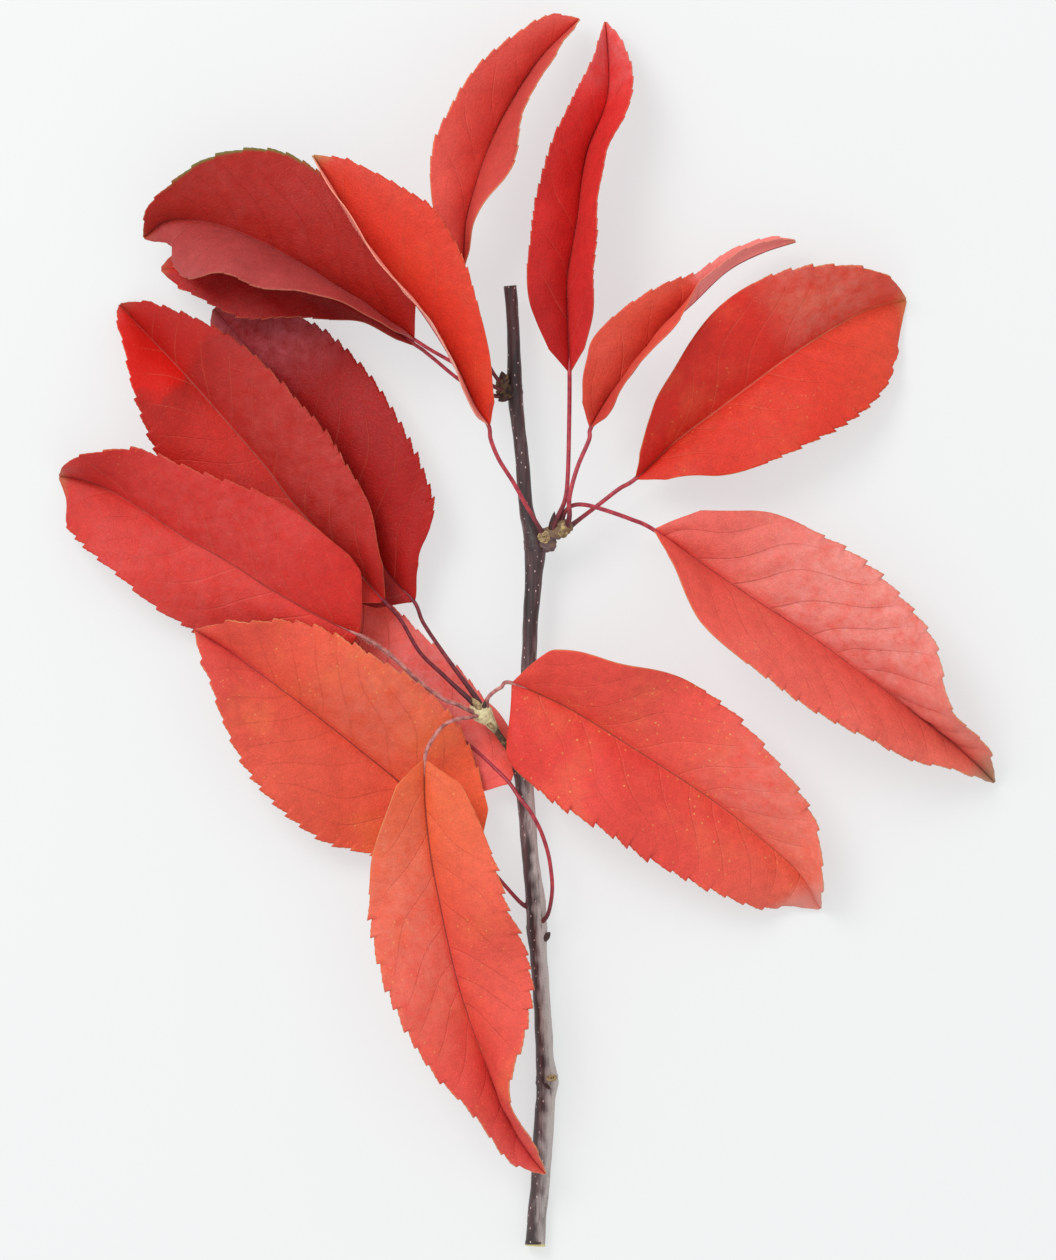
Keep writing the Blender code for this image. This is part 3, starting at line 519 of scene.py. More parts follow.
def walk(points, shares, first=0, last=None):
    """Points at shares of the way along the smooth curve from its point first to its point last, and its length."""
    last = len(points) - 1 if last is None else last
    fine = smooth(points, np.linspace(first, last, 1500))
    run = np.concatenate([[0], np.cumsum(np.linalg.norm(np.diff(fine, axis=0), axis=1))])
    at = np.asarray(shares, float) * run[-1]
    return np.stack([np.interp(at, run, column) for column in fine.T], -1), run[-1]


def along(values, s):
    """Values given at the knots, read at shares s of a blade."""
    return smooth(values, np.interp(s, KNOTS, np.arange(len(KNOTS))))


def unit(vectors):
    return vectors / np.linalg.norm(vectors, axis=-1, keepdims=True)


def new_object(name, data):
    made = bpy.data.objects.new(name, data)
    bpy.context.scene.collection.objects.link(made)
    return made


def evaluated_mesh(made):
    """An object's mesh as its modifiers make it."""
    bpy.context.view_layer.update()
    return bpy.data.meshes.new_from_object(made.evaluated_get(bpy.context.evaluated_depsgraph_get()))


class Growth:
    """Gathers the points, faces and point values of one piece, in mm, and makes its mesh."""

    def __init__(self):
        self.points, self.faces, self.surfaces, self.values = [], [], [], {}

    def add(self, points, faces, surface=0, **values):
        start = len(self.points)
        points = np.asarray(points, float).reshape(-1, 3)
        self.points.extend(points.tolist())
        self.faces.extend([tuple(start + k for k in face) for face in faces])
        self.surfaces.extend(surface if isinstance(surface, list) else [surface] * len(faces))
        for key in set(values) | set(self.values):
            column = self.values.setdefault(key, [0.0] * start)
            given = values.get(key)
            column.extend([0.0] * len(points) if given is None else np.ravel(given).astype(float).tolist())

    def make(self, name, surfaces):
        data = bpy.data.meshes.new(name)
        data.from_pydata((np.array(self.points) * MM).tolist(), [], self.faces)
        data.polygons.foreach_set("material_index", self.surfaces)
        for key, column in self.values.items():
            layer = data.attributes.new(key, "FLOAT", "POINT")
            layer.data.foreach_set("value", column)
        for surface in surfaces:
            data.materials.append(surface)
        data.update()
        data.shade_smooth()
        return new_object(name, data)


def grid_faces(rows, columns, start=0, closed=False):
    """Quads between the points of a grid, whose columns may close to a ring."""
    faces = []
    for i in range(rows - 1):
        for j in range(columns if closed else columns - 1):
            k = (j + 1) % columns
            a = start + i * columns
            faces.append((a + j, a + columns + j, a + columns + k, a + k))
    return faces


def add_shell(growth, upper, under, surfaces, **values):
    """A closed sheet from its upper and its under grid of points, joined all round its rim."""
    rows, columns = upper.shape[:2]
    count = rows * columns
    top = grid_faces(rows, columns)
    bottom = [tuple(reversed(face)) for face in grid_faces(rows, columns, count)]
    ring = [*range(columns)]
    ring += [i * columns + columns - 1 for i in range(1, rows)]
    ring += [(rows - 1) * columns + j for j in range(columns - 2, -1, -1)]
    ring += [i * columns for i in range(rows - 2, 0, -1)]
    rim = [(a, b, b + count, a + count) for a, b in zip(ring, ring[1:] + ring[:1])]
    kinds = [surfaces[0]] * len(top) + [surfaces[1]] * len(bottom) + [surfaces[0]] * len(rim)
    doubled = {key: np.concatenate([np.ravel(column)] * 2) for key, column in values.items()}
    growth.add(np.concatenate([upper.reshape(-1, 3), under.reshape(-1, 3)]), top + bottom + rim, kinds, **doubled)


def frames(line):
    """Two directions across a line of points, carried along it without twist."""
    heading = unit(np.gradient(line, axis=0))
    across = np.empty_like(line)
    side = np.cross(heading[0], (0.13, 0.2, 1.0))
    for k, forward in enumerate(heading):
        side = side - forward * np.dot(side, forward)
        side = side / np.linalg.norm(side)
        across[k] = side
    return across, np.cross(heading, across)


def add_tube(growth, line, radii, sides, surface=0, bulge=None, **values):
    """A closed round tube along a line, whose radius may vary round it as well as along it."""
    across, over = frames(line)
    turn = np.linspace(0, 2 * np.pi, sides, endpoint=False)
    radii = np.asarray(radii, float)
    radius = np.repeat(radii[:, None], sides, 1) if bulge is None else radii[:, None] + bulge
    ring = np.cos(turn)[None, :, None] * across[:, None] + np.sin(turn)[None, :, None] * over[:, None]
    points = line[:, None] + radius[..., None] * ring
    count = len(line) * sides
    faces = [tuple(reversed(face)) for face in grid_faces(len(line), sides, 0, True)]
    ends = np.array([line[0], line[-1]])
    faces += [(count, k, (k + 1) % sides) for k in range(sides)]
    last = (len(line) - 1) * sides
    faces += [(count + 1, last + (k + 1) % sides, last + k) for k in range(sides)]
    spread = {}
    for key, column in values.items():
        column = np.asarray(column, float)
        column = (column if column.ndim == 2 else np.repeat(column[:, None], sides, 1)).ravel()
        spread[key] = np.concatenate([column, column[:1], column[-1:]])
    growth.add(np.concatenate([points.reshape(-1, 3), ends]), faces, surface, **spread)


def give(tree, made, inputs):
    """Links a node's input where a socket is given for it, and sets its value otherwise."""
    for key, value in inputs.items():
        if isinstance(value, bpy.types.NodeSocket):
            tree.links.new(value, made.inputs[key])
        else:
            made.inputs[key].default_value = value


def node(tree, kind, inputs=None, out=0, **settings):
    """Adds a node and returns one of its outputs, or the node itself where out is None."""
    made = tree.nodes.new(kind if "Node" in kind else f"ShaderNode{kind}")
    for key, value in settings.items():
        setattr(made, key, value)
    give(tree, made, inputs or {})
    return made if out is None else made.outputs[out]


def new_surface(name):
    """An empty material with its shader, ready for the nodes of one finish."""
    made = bpy.data.materials.new(name)
    made.use_nodes = True
    tree = made.node_tree
    tree.nodes.clear()
    shader = node(tree, "BsdfPrincipled", out=None)
    node(tree, "OutputMaterial", {"Surface": shader.outputs["BSDF"]}, out=None)
    return made, tree, shader


def rgba(colour):
    return (*(linear(colour) if isinstance(colour, str) else colour), 1)


def leaf_surface(title, name, leaves, under):
    """Living leaf with its waxy skin, as grown: satin, with colour that changes over the blade, sunken side veins
    that catch a little light, a dark midrib and a thin dry rim along the teeth. The underside is paler and duller."""
    made, tree, shader = new_surface(title)
    base, middle, tip, left, right, patch = LEAF_COLOURS[name]
    share, off, rim, vein = (
        node(tree, "Attribute", attribute_name=key, out="Fac") for key in ("share", "off", "rim", "vein")
    )
    place = node(tree, "TexCoord", out="Object")
    cloudy, mottle, grain, streaks = (
        node(tree, "TexNoise", {"Vector": place, "Scale": 1 / (size * MM), "Detail": detail, "Roughness": harsh})
        for size, detail, harsh in ((15, 4, 0.6), (2.4, 5, 0.7), (0.35, 2, 0.7), (3.2, 6, 0.7))
    )
    cells = node(tree, "TexVoronoi", {"Vector": place, "Scale": 1 / (1.1 * MM)}, feature="DISTANCE_TO_EDGE")

    # A coat is how much of it shows, and its colour. The first ones follow the blade, its halves and its patches.
    start = node(tree, "MapRange", {0: share, 1: 0.05, 2: 0.5}, interpolation_type="SMOOTHSTEP")
    ending = node(tree, "MapRange", {0: share, 1: 0.55, 2: 0.95}, interpolation_type="SMOOTHSTEP")
    coats = [(start, middle), (ending, tip)]
    # The half tints: on leaf_a2, leaf_c2 and leaf_d2 they are painted sheen, painted shadow and painted light.
    for (tint, amount), low, high in ((left, 0.1, 1.5), (right, -0.1, -1.5)):
        coats.append((node(tree, "MapRange", {0: off, 1: low, 2: high, 4: amount}), tint))
    blotch = node(tree, "MapRange", {0: cloudy, 1: 0.48, 2: 0.68, 4: patch[1]}, interpolation_type="SMOOTHSTEP")
    coats.append((blotch, patch[0]))
    if under:
        coats.append((0.6, UNDERSIDES.get(name, leaves.underside)))
    colour = rgba(base)
    for amount, tint in coats:
        colour = node(tree, "Mix", {0: amount, 6: colour, 7: rgba(tint)}, data_type="RGBA", out=2)

    # Light and dark over a few mm, the net of the finest veins at its real mesh of about 1 mm, and the skin's grain.
    tone = node(tree, "MapRange", {0: mottle, 1: 0.3, 2: 0.7, 3: 0.9, 4: 1.1})
    netted = node(tree, "MapRange", {0: cells, 2: 0.1, 3: 1.05, 4: 1.0})
    fine = node(tree, "MapRange", {0: grain, 1: 0.3, 2: 0.7, 3: 0.87, 4: 1.13})
    for part in (netted, fine):
        tone = node(tree, "Math", {0: tone, 1: part}, operation="MULTIPLY")
    colour = node(tree, "HueSaturation", {"Color": colour, "Value": tone})

    coats = []
    # A brighter end part; on leaf_c1 it is painted light shining through the blade.
    if name in BRIGHT_ENDS:
        begins, strength, on_right, bright = BRIGHT_ENDS[name]
        edge = node(tree, "Math", {0: cloudy, 1: 0.16, 2: share}, operation="MULTIPLY_ADD")
        there = node(tree, "MapRange", {0: edge, 1: begins + 0.07, 2: begins + 0.1, 4: strength})
        half = node(tree, "MapRange", {0: off, 1: -0.2, 2: 0.2, 3: on_right})
        coats.append((node(tree, "Math", {0: there, 1: half}, operation="MULTIPLY"), bright))

    # Painted sheen: pale grainy streaks that stand in for the light the waxy skin reflects.
    centre, reach, side, strength, pale = PAINTED_SHEEN.get(name, USUAL_PAINTED_SHEEN)
    beside = node(tree, "Math", {0: share, 1: centre, 2: 0.0}, operation="SUBTRACT")
    beside = node(tree, "Math", {0: beside}, operation="ABSOLUTE")
    here = node(tree, "MapRange", {0: beside, 1: reach * 0.4, 2: reach, 3: strength, 4: 0.0})
    if side:
        half = node(tree, "MapRange", {0: off, 1: 0.1 * side, 2: 1.6 * side})
        here = node(tree, "Math", {0: here, 1: half}, operation="MULTIPLY")
    streaks = node(tree, "MapRange", {0: streaks, 1: 0.3, 2: 0.7})
    coats.append((node(tree, "Math", {0: here, 1: streaks}, operation="MULTIPLY"), pale))

    # The side veins lie where the vein value is a whole number. They fade towards the margin and in places.
    nearest = node(tree, "Math", {0: vein, 1: 0.5}, operation="PINGPONG")
    inside = node(tree, "MapRange", {0: rim, 1: 0.8, 2: 5.0})
    line = node(tree, "MapRange", {0: nearest, 1: 0.01, 2: 0.04, 3: 1.0, 4: 0.0})
    line = node(tree, "Math", {0: line, 1: inside}, operation="MULTIPLY")
    clear = 0.3 if under or name in ONE_SIDED else 0.13
    patchy = node(tree, "MapRange", {0: cloudy, 1: 0.35, 2: 0.6, 3: 0.04, 4: clear})
    faint = node(tree, "Math", {0: line, 1: patchy}, operation="MULTIPLY")
    if name in ONE_SIDED:
        half = node(tree, "MapRange", {0: off, 1: -0.5, 2: 0.5, 3: 0.2})
        faint = node(tree, "Math", {0: faint, 1: half}, operation="MULTIPLY")
    coats.append((faint, leaves.midrib if name in DARK_VEINS or under else leaves.pale_vein))

    spots = node(tree, "TexVoronoi", {"Vector": place, "Scale": 1 / (1.9 * MM)}, feature="F1")
    speckled = 0 if under else SPECKLED.get(name, 0)
    spot = node(tree, "MapRange", {0: spots, 1: 0.07, 2: 0.15, 3: speckled, 4: 0.0})
    gathered = node(tree, "MapRange", {0: cloudy, 1: 0.4, 2: 0.55})
    coats.append((node(tree, "Math", {0: spot, 1: gathered}, operation="MULTIPLY"), leaves.speck))

    # The midrib's dark line is about 0.7 mm wide at the base and 0.2 mm at the tip, and on some it ends pale.
    width = node(tree, "MapRange", {0: share, 3: 0.28, 4: 0.08})
    away = node(tree, "Math", {0: off}, operation="ABSOLUTE")
    ratio = node(tree, "Math", {0: away, 1: width}, operation="DIVIDE")
    rib = node(tree, "MapRange", {0: ratio, 1: 0.6, 2: 1.7, 3: 0.75, 4: 0.0})
    pale_from = 2 if under else PALE_MIDRIB.get(name, 2)
    pale = node(tree, "MapRange", {0: share, 1: pale_from, 2: pale_from + 0.2})
    usual, outer = rgba(MIDRIBS.get(name, leaves.midrib)), rgba(leaves.pale_vein)
    coats.append((rib, node(tree, "Mix", {0: pale, 6: usual, 7: outer}, data_type="RGBA", out=2)))

    # The rim has dried to tan over a hair's breadth, in places more, and some tips have dried too.
    reach = node(tree, "MapRange", {0: mottle, 1: 0.4, 2: 0.62, 3: 0.05, 4: 0.28})
    ratio = node(tree, "Math", {0: rim, 1: reach}, operation="DIVIDE")
    amount = 0.18 if name in QUIET_RIMS else 0.5
    coats.append((node(tree, "MapRange", {0: ratio, 1: 0.3, 2: 1.0, 3: amount, 4: 0.0}), leaves.rim))
    if name in GREEN_MARGINS:
        side, first, last, green = GREEN_MARGINS[name]
        still = node(tree, "MapRange", {0: off, 1: 0, 2: side, 4: 0.9})
        near = node(tree, "MapRange", {0: rim, 1: 0.2, 2: 0.8, 3: 1.0, 4: 0.0})
        begun = node(tree, "MapRange", {0: share, 1: first, 2: first + 0.12})
        ended = node(tree, "MapRange", {0: share, 1: last, 2: last + 0.06, 3: 1.0, 4: 0.0})
        for part in (near, begun, ended):
            still = node(tree, "Math", {0: still, 1: part}, operation="MULTIPLY")
        coats.append((still, green))
    ragged = node(tree, "Math", {0: mottle, 1: 0.06, 2: share}, operation="MULTIPLY_ADD")
    dried, dry_from, dry_colour = DRY_TIPS.get(name, USUAL_TIP)
    withered = node(tree, "MapRange", {0: ragged, 1: dry_from, 2: dry_from + 0.06, 4: dried})
    coats.append((withered, dry_colour))
    for amount, tint in coats:
        tint = tint if isinstance(tint, bpy.types.NodeSocket) else rgba(tint)
        colour = node(tree, "Mix", {0: amount, 6: colour, 7: tint}, data_type="RGBA", out=2)

    # What makes the blade uneven to the light: its veins, its mottling, the net of fine veins and the skin's grain.
    height = node(tree, "Math", {0: line, 1: 0.8 if under else -0.7}, operation="MULTIPLY")
    for part, amount in ((mottle, 1.4), (netted, -6.0), (grain, 0.35)):
        height = node(tree, "Math", {0: part, 1: amount, 2: height}, operation="MULTIPLY_ADD")
    bump = node(tree, "Bump", {"Height": height, "Distance": 0.16 * MM, "Strength": 0.75})
    gloss = node(tree, "MapRange", {0: mottle, 3: 0.6 if under else 0.42, 4: 0.8 if under else 0.58})
    give(tree, shader, {"Base Color": colour, "Roughness": gloss, "Normal": bump, "IOR": 1.4})
    give(tree, shader, {"Specular IOR Level": 0.35, "Sheen Weight": 0.08 if under else 0.03, "Sheen Roughness": 0.4})
    return made


def stalk_surface(leaves, name):
    """Leaf stalk, as grown: smooth crimson skin, a little glossy and nearly black at its foot. A young one is duller,
    because pale down covers it."""
    downy = name in DOWNY_STALKS
    old = name in DARK_STALKS
    title = "downy young leaf stalk" if downy else "dark old leaf stalk skin" if old else "crimson leaf stalk skin"
    if title in bpy.data.materials:
        return bpy.data.materials[title]
    made, tree, shader = new_surface(title)
    share = node(tree, "Attribute", attribute_name="share", out="Fac")
    place = node(tree, "TexCoord", out="Object")
    streaks = node(tree, "TexNoise", {"Vector": place, "Scale": 1 / (1.3 * MM), "Detail": 4.0})
    mixed = node(tree, "MapRange", {0: streaks, 1: 0.35, 2: 0.65})
    dark = "#92504E" if downy else "#5E1824" if old else "#92283A"
    light = leaves.downy if downy else "#8E2A34" if old else leaves.stalk
    colour = node(tree, "Mix", {0: mixed, 6: rgba(dark), 7: rgba(light)}, data_type="RGBA", out=2)
    foot = node(tree, "MapRange", {0: share, 1: 0.08, 2: 0.55 if old else 0.3, 3: 0.3 if downy else 0.8, 4: 0.0})
    colour = node(tree, "Mix", {0: foot, 6: colour, 7: rgba("#42262A")}, data_type="RGBA", out=2)
    bump = node(tree, "Bump", {"Height": streaks, "Distance": 0.08 * MM, "Strength": 0.5})
    gloss = node(tree, "MapRange", {0: streaks, 3: 0.6 if downy else 0.32, 4: 0.85 if downy else 0.5})
    give(tree, shader, {"Base Color": colour, "Roughness": gloss, "Normal": bump, "IOR": 1.45})
    return made


def bark_surface(bark):
    """Smooth crab apple bark, as grown: dark purplish brown with a satin skin. On the older wood the side towards +X
    is pale grey and dull, with dark flecks: partly a thin grey skin over the bark, partly painted light on that side."""
    made, tree, shader = new_surface("smooth crab apple bark")
    place = node(tree, "TexCoord", out="Object")
    film = node(tree, "Attribute", attribute_name="film", out="Fac")
    drawn = node(tree, "Mapping", {"Vector": place, "Scale": (1, 0.1, 1)})
    streak = node(tree, "TexNoise", {"Vector": drawn, "Scale": 1 / (0.55 * MM), "Detail": 5.0, "Roughness": 0.65})
    cloudy = node(tree, "TexNoise", {"Vector": drawn, "Scale": 1 / (1.6 * MM), "Detail": 4.0})
    grain = node(tree, "TexNoise", {"Vector": place, "Scale": 1 / (0.22 * MM), "Detail": 2.0})
    # Pale grey where that value is high: partly a thin grey skin, partly painted light on the side towards +X.
    worn = node(tree, "Math", {0: streak, 1: cloudy}, operation="ADD")
    amount = node(tree, "Math", {0: worn, 1: 0.9, 2: film}, operation="MULTIPLY_ADD")
    grey = node(tree, "MapRange", {0: amount, 1: 1.0, 2: 1.75})
    brown = node(tree, "MapRange", {0: cloudy, 1: 0.4, 2: 0.62})
    skin = node(tree, "Mix", {0: brown, 6: rgba(bark.dark), 7: rgba(bark.brown)}, data_type="RGBA", out=2)
    colour = node(tree, "Mix", {0: grey, 6: skin, 7: rgba(bark.grey)}, data_type="RGBA", out=2)
    flecks = node(tree, "MapRange", {0: streak, 1: 0.34, 2: 0.44, 3: 0.4, 4: 0.0})
    colour = node(tree, "Mix", {0: flecks, 6: colour, 7: rgba(bark.dark)}, data_type="RGBA", out=2)
    tone = node(tree, "MapRange", {0: grain, 3: 0.7, 4: 1.3})
    colour = node(tree, "HueSaturation", {"Color": colour, "Value": tone})
    # The knife pared the bark at the foot, which leaves a thin edge of pale wood.
    along_twig = node(tree, "SeparateXYZ", {0: place}, out=1)
    pared = node(tree, "MapRange", {0: along_twig, 1: -135.5 * MM, 2: -135.2 * MM, 3: 0.85, 4: 0.0})
    colour = node(tree, "Mix", {0: pared, 6: colour, 7: rgba(bark.wood)}, data_type="RGBA", out=2)
    dull = node(tree, "MapRange", {0: grey, 3: 0.4, 4: 0.75})
    high = node(tree, "Math", {0: streak, 1: grain}, operation="ADD")
    bump = node(tree, "Bump", {"Height": high, "Distance": 0.1 * MM, "Strength": 0.7})
    give(tree, shader, {"Base Color": colour, "Roughness": dull, "Normal": bump})
    return made


def mottled_surface(name, first, second, grain_mm, rough, bump_mm):
    """Dull plant skin or cut wood, as grown or as cut: two near colours mottled at the grain's size, no gloss."""
    made, tree, shader = new_surface(name)
    place = node(tree, "TexCoord", out="Object")
    coarse = node(tree, "TexNoise", {"Vector": place, "Scale": 1 / (grain_mm * MM), "Detail": 5.0, "Roughness": 0.65})
    mixed = node(tree, "MapRange", {"Value": coarse, "From Min": 0.36, "From Max": 0.62})
    colour = node(tree, "Mix", {0: mixed, 6: rgba(first), 7: rgba(second)}, data_type="RGBA", out=2)
    bump = node(tree, "Bump", {"Height": coarse, "Distance": bump_mm * MM, "Strength": 0.8})
    gloss = node(tree, "MapRange", {"Value": coarse, "To Min": rough - 0.1, "To Max": rough + 0.1})
    give(tree, shader, {"Base Color": colour, "Roughness": gloss, "Normal": bump})
    return made


def vein_value(run, off, spacing):
    """Counts the side veins: a whole number on each of them, half way between them a half."""
    out = np.abs(off)
    wander = 1.5 * np.sin(run / 9.0) + 1.1 * np.sin(run / 4.3 + 1) + 1.0 * np.sin(out / 3.7 + run / 7.0)
    return (run + wander - VEIN_SLANT * out - VEIN_CURVE * out**2) / spacing + np.where(off > 0, 0.5, 0)


def make_leaf(name, number, leaves):
    """One leaf with its stalk, its toothed blade and the midrib that stands out under it."""
    leaf = LEAVES[name]
    chance = np.random.default_rng(number + 1)
    line = [*leaf["stalk"], *leaf["midrib"]]
    first = len(leaf["stalk"])
    long = walk(line, (0, 1), first)[1]
    pitch, depth, *entire = MARGINS[name]
    depth = depth * leaves.tooth_depth
    teeth = int(long / (pitch * leaves.tooth_pitch))
    edges = np.cumsum(np.concatenate([[0], chance.uniform(0.75, 1.25, teeth)]))
    edges = edges / edges[-1]
    phases = np.array([phase for phase, out in TOOTH])
    s = np.append((edges[:-1, None] + np.diff(edges)[:, None] * phases).ravel(), 1.0)
    middle = walk(line, s, first)[0]
    heading = unit(np.gradient(middle, s, axis=0))
    out = unit(np.cross((0, 0, 1.0), heading))
    up = np.cross(heading, out)
    profile = np.append(np.tile([out for phase, out in TOOTH], teeth), 0)
    width = np.maximum(along((HALF_SIZE[0], *leaf["width"], HALF_SIZE[1]), s), 0.5)
    halves = []
    for side in (-1, 1):
        given = leaf["left" if side > 0 else "right"]
        raised = np.radians(along((given[0], *given, given[-1]), s))
        turns = WAVES * s + number * 0.37 + side * 0.2
        wave = CALM.get(name, 1) * leaves.wave / MM * np.sin(2 * np.pi * turns) * np.sin(np.pi * s)
        own = np.append(np.repeat(chance.uniform(0.7, 1.2, teeth), len(TOOTH)), 0)
        smooth_share = entire[0 if side > 0 else 1]
        fade = np.clip((s - smooth_share) / 0.08, 0, 1) * (1 - 0.35 * s**2) * (s < TOOTHED_UP_TO)
        tooth = own * profile * fade
        bowed = np.radians(2 * FLATTER.get((name, side), CAMBER))
        columns = []
        for share in COLUMNS:
            edge = share**TOOTH_BAND
            angle = raised + bowed * (1 - share)
            span = (width * share + (tooth - 0.3 * fade) * depth * edge)[:, None]
            flat = np.cos(angle)[:, None] * side * out + np.sin(angle)[:, None] * up
            normal = np.cos(angle)[:, None] * up - np.sin(angle)[:, None] * side * out
            lean = (tooth**2 * leaves.tooth_lean / MM * edge * (s < 0.97))[:, None] * heading
            columns.append((middle + span * flat + (wave * share)[:, None] * normal + lean, side * width * share))
        halves.append(columns)
    columns = [*reversed(halves[0]), (middle, 0 * s), *halves[1]]
    sheet = np.stack([points for points, off in columns], 1)
    off = np.stack([off for points, off in columns], 1)
    run = np.repeat((s * long)[:, None], sheet.shape[1], 1)
    vein = vein_value(run, off, leaves.vein_spacing / MM)
    rim = width[:, None] - np.abs(off)
    normal = unit(np.cross(np.gradient(sheet, axis=0), np.gradient(sheet, axis=1)))
    normal = np.where(np.isfinite(normal), normal, (0, 0, 1.0))

    between = np.abs(np.sin(np.pi * vein))
    inside = np.clip(rim / 3, 0, 1) * np.clip(np.abs(off) / 2.5, 0, 1)
    face = -1 if name in UPSIDE_DOWN else 1
    uneven = 0.7 + 0.3 * np.sin(run / 5.3 + off / 4.1 + number)
    quilt = leaves.quilt / MM * PUCKERED.get(name, 0.7) * (between**0.6 - 0.6) * inside * uneven
    more, less = ONE_SIDED.get(name, (1, 1))
    quilt = quilt * np.where(off > 0, more, less)
    ripple = RIPPLE * np.sin(run / 3.1 + number) * np.sin(off / 2.3 + run / 7) * np.clip(np.abs(off) / 4, 0, 1)
    groove = -GROOVE[0] * np.exp(-((off / GROOVE[1]) ** 2))
    sheet = sheet + ((quilt + groove) * face + ripple)[..., None] * normal
    nearest = np.abs(vein - np.round(vein))
    ridge = leaves.vein_ridge / MM * np.exp(-((nearest / RIDGE_SHARE) ** 2)) * inside
    half = leaves.thickness / MM / 2
    over = half + (ridge if face < 0 else 0)
    below = half + (ridge if face > 0 else 0)
    upper = sheet + np.broadcast_to(over, rim.shape)[..., None] * normal
    under = sheet - np.broadcast_to(below, rim.shape)[..., None] * normal
    for grid, low in zip((upper, under), BLADE_ABOVE_TABLE):
        grid[..., 2] = np.maximum(grid[..., 2], low)

    growth = Growth()
    values = {"share": np.repeat(s[:, None], sheet.shape[1], 1), "off": off, "rim": rim, "vein": vein}
    add_shell(growth, upper, under, (0, 1) if face > 0 else (1, 0), **values)
    radius = STALK_RADII[name[5]] * leaves.stalk_size
    add_stalk(growth, line, first, middle, up * face, s, radius, THICK_FEET.get(name, USUAL_FOOT))
    surfaces = [
        leaf_surface(f"waxy upper skin of {name}", name, leaves, False),
        leaf_surface(f"dull underside of {name}", name, leaves, True),
        stalk_surface(leaves, name),
    ]
    return growth.make(f"red_{name}", surfaces)


def add_stalk(growth, line, first, middle, up, s, radius, flare):
    """The stalk from its flared foot to the blade, and on as the midrib below the blade."""
    shares = np.linspace(0, 1, STALK_RINGS + 1)[:-1]
    free, long = walk(line, shares, 0, first)
    picked = slice(0, len(s) - 8, 3)
    sunk = np.clip(s[picked] / 0.04, 0, 1)
    rib_radius = radius * (1 - 0.72 * s[picked])
    rib = middle[picked] - up[picked] * (sunk * (0.16 + rib_radius * 0.45))[:, None]
    rib[:, 2] = np.maximum(rib[:, 2], rib_radius + 0.02)
    run = np.linspace(0, long, STALK_RINGS + 1)[:-1]
    foot = 1 + flare[0] * np.exp(-run / flare[1])
    thick = np.concatenate([radius * foot, rib_radius * (1 - 0.12 * sunk)])
    share = np.concatenate([np.linspace(0, 1, STALK_RINGS), np.full(len(rib), 1.0)])
    add_tube(growth, np.concatenate([free, rib]), thick, STALK_SIDES, 2, share=share)


def finish_leaf(piece, name):
    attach(piece, "root")
    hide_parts(name)


def twig_line(step):
    """The twig's middle line and radius at even steps, in mm."""
    table = np.array(TWIG)
    long = walk(table[:, :3], (0, 1))[1]
    at = np.linspace(0, 1, int(long / step))
    places = walk(table[:, :3], at)[0]
    marks = np.concatenate([[0], np.cumsum(np.linalg.norm(np.diff(table[:, :3], axis=0), axis=1))])
    return places, np.interp(long * at, marks * long / marks[-1], table[:, 3])


def rough(points, size, seed):
    """Smooth noise at points in mm, whose bumps are about size mm across."""
    start = Vector((seed, 0, 0))
    found = [noise.noise(Vector(point) / size + start) for point in points.reshape(-1, 3)]
    return np.reshape(found, points.shape[:-1])


def make_twig(bark):
    """The cut twig: wrinkled bark with a swelling and fine scars at each node, side buds and two cut ends."""
    sides = TWIG_SIDES
    line, radii = twig_line(TWIG_STEP)
    turn = np.linspace(0, 2 * np.pi, sides, endpoint=False)
    ring = np.stack([np.cos(turn) * 2.0, 0 * turn, np.sin(turn) * 2.0], -1)
    spots = ring[None] + line[:, None] * (1, 0.12, 1)
    wrinkle = rough(spots, 0.8, 3) * bark.wrinkle / MM
    lumpy = rough(ring[None] + line[:, None], 3.5, 9) * 0.12
    scars = np.zeros(len(line))
    for at in NODES:
        for shift in SCAR_RINGS:
            scars += SCAR_HEIGHT * np.exp(-(((line[:, 1] - at - shift) / SCAR_WIDTH) ** 2))
    growth = Growth()
    across, over = frames(line)
    # How far each point faces +X: the pale grey skin there is partly painted light on that side.
    painted_light_side = np.cos(turn) * across[:, :1] + np.sin(turn) * over[:, :1]
    older = np.clip((FILM_AND_PAINTED_LIGHT_FROM - line[:, 1]) / 55, 0, 1) * np.clip((line[:, 1] + 165) / 55, 0, 1)
    patches = rough(ring[None] + line[:, None] * (1, 0.5, 1), 1.3, 5)
    film = older[:, None] * np.clip(0.42 + 0.85 * (painted_light_side + 0.55 * patches), 0, 1)
    add_tube(growth, line, radii, sides, 0, wrinkle + lumpy + scars[:, None], film=film)
    growth.points = [[x, y, max(z, ABOVE_TABLE)] for x, y, z in growth.points]
    add_cut(growth, line[0] + CUT_BACK * unit(line[3] - line[0]), line[0] - line[3], radii[0])
    add_cut(growth, line[-1] + CUT_BACK * unit(line[-4] - line[-1]), line[-1] - line[-4], radii[-1])
    for foot, tip, radius in SIDE_BUDS:
        add_bud(growth, foot, tip, radius)
    for place, heading, size in LEAF_SCARS:
        add_scar(growth, place, heading, size)
    surfaces = [bark_surface(bark), wood_surface(bark), scale_surface(bark), young_surface(bark)]
    return growth.make("bark_of_twig", surfaces)


def wood_surface(bark):
    return mottled_surface("fresh cut apple wood", "#C8A850", bark.wood, 0.5, 0.75, 0.1)


def scale_surface(bark):
    return mottled_surface("dry brown bud scale", "#2E1A18", bark.scale, 0.9, 0.55, 0.08)


def young_surface(bark):
    return mottled_surface("tan bud ring", "#5E4230", bark.young, 1.0, 0.75, 0.12)


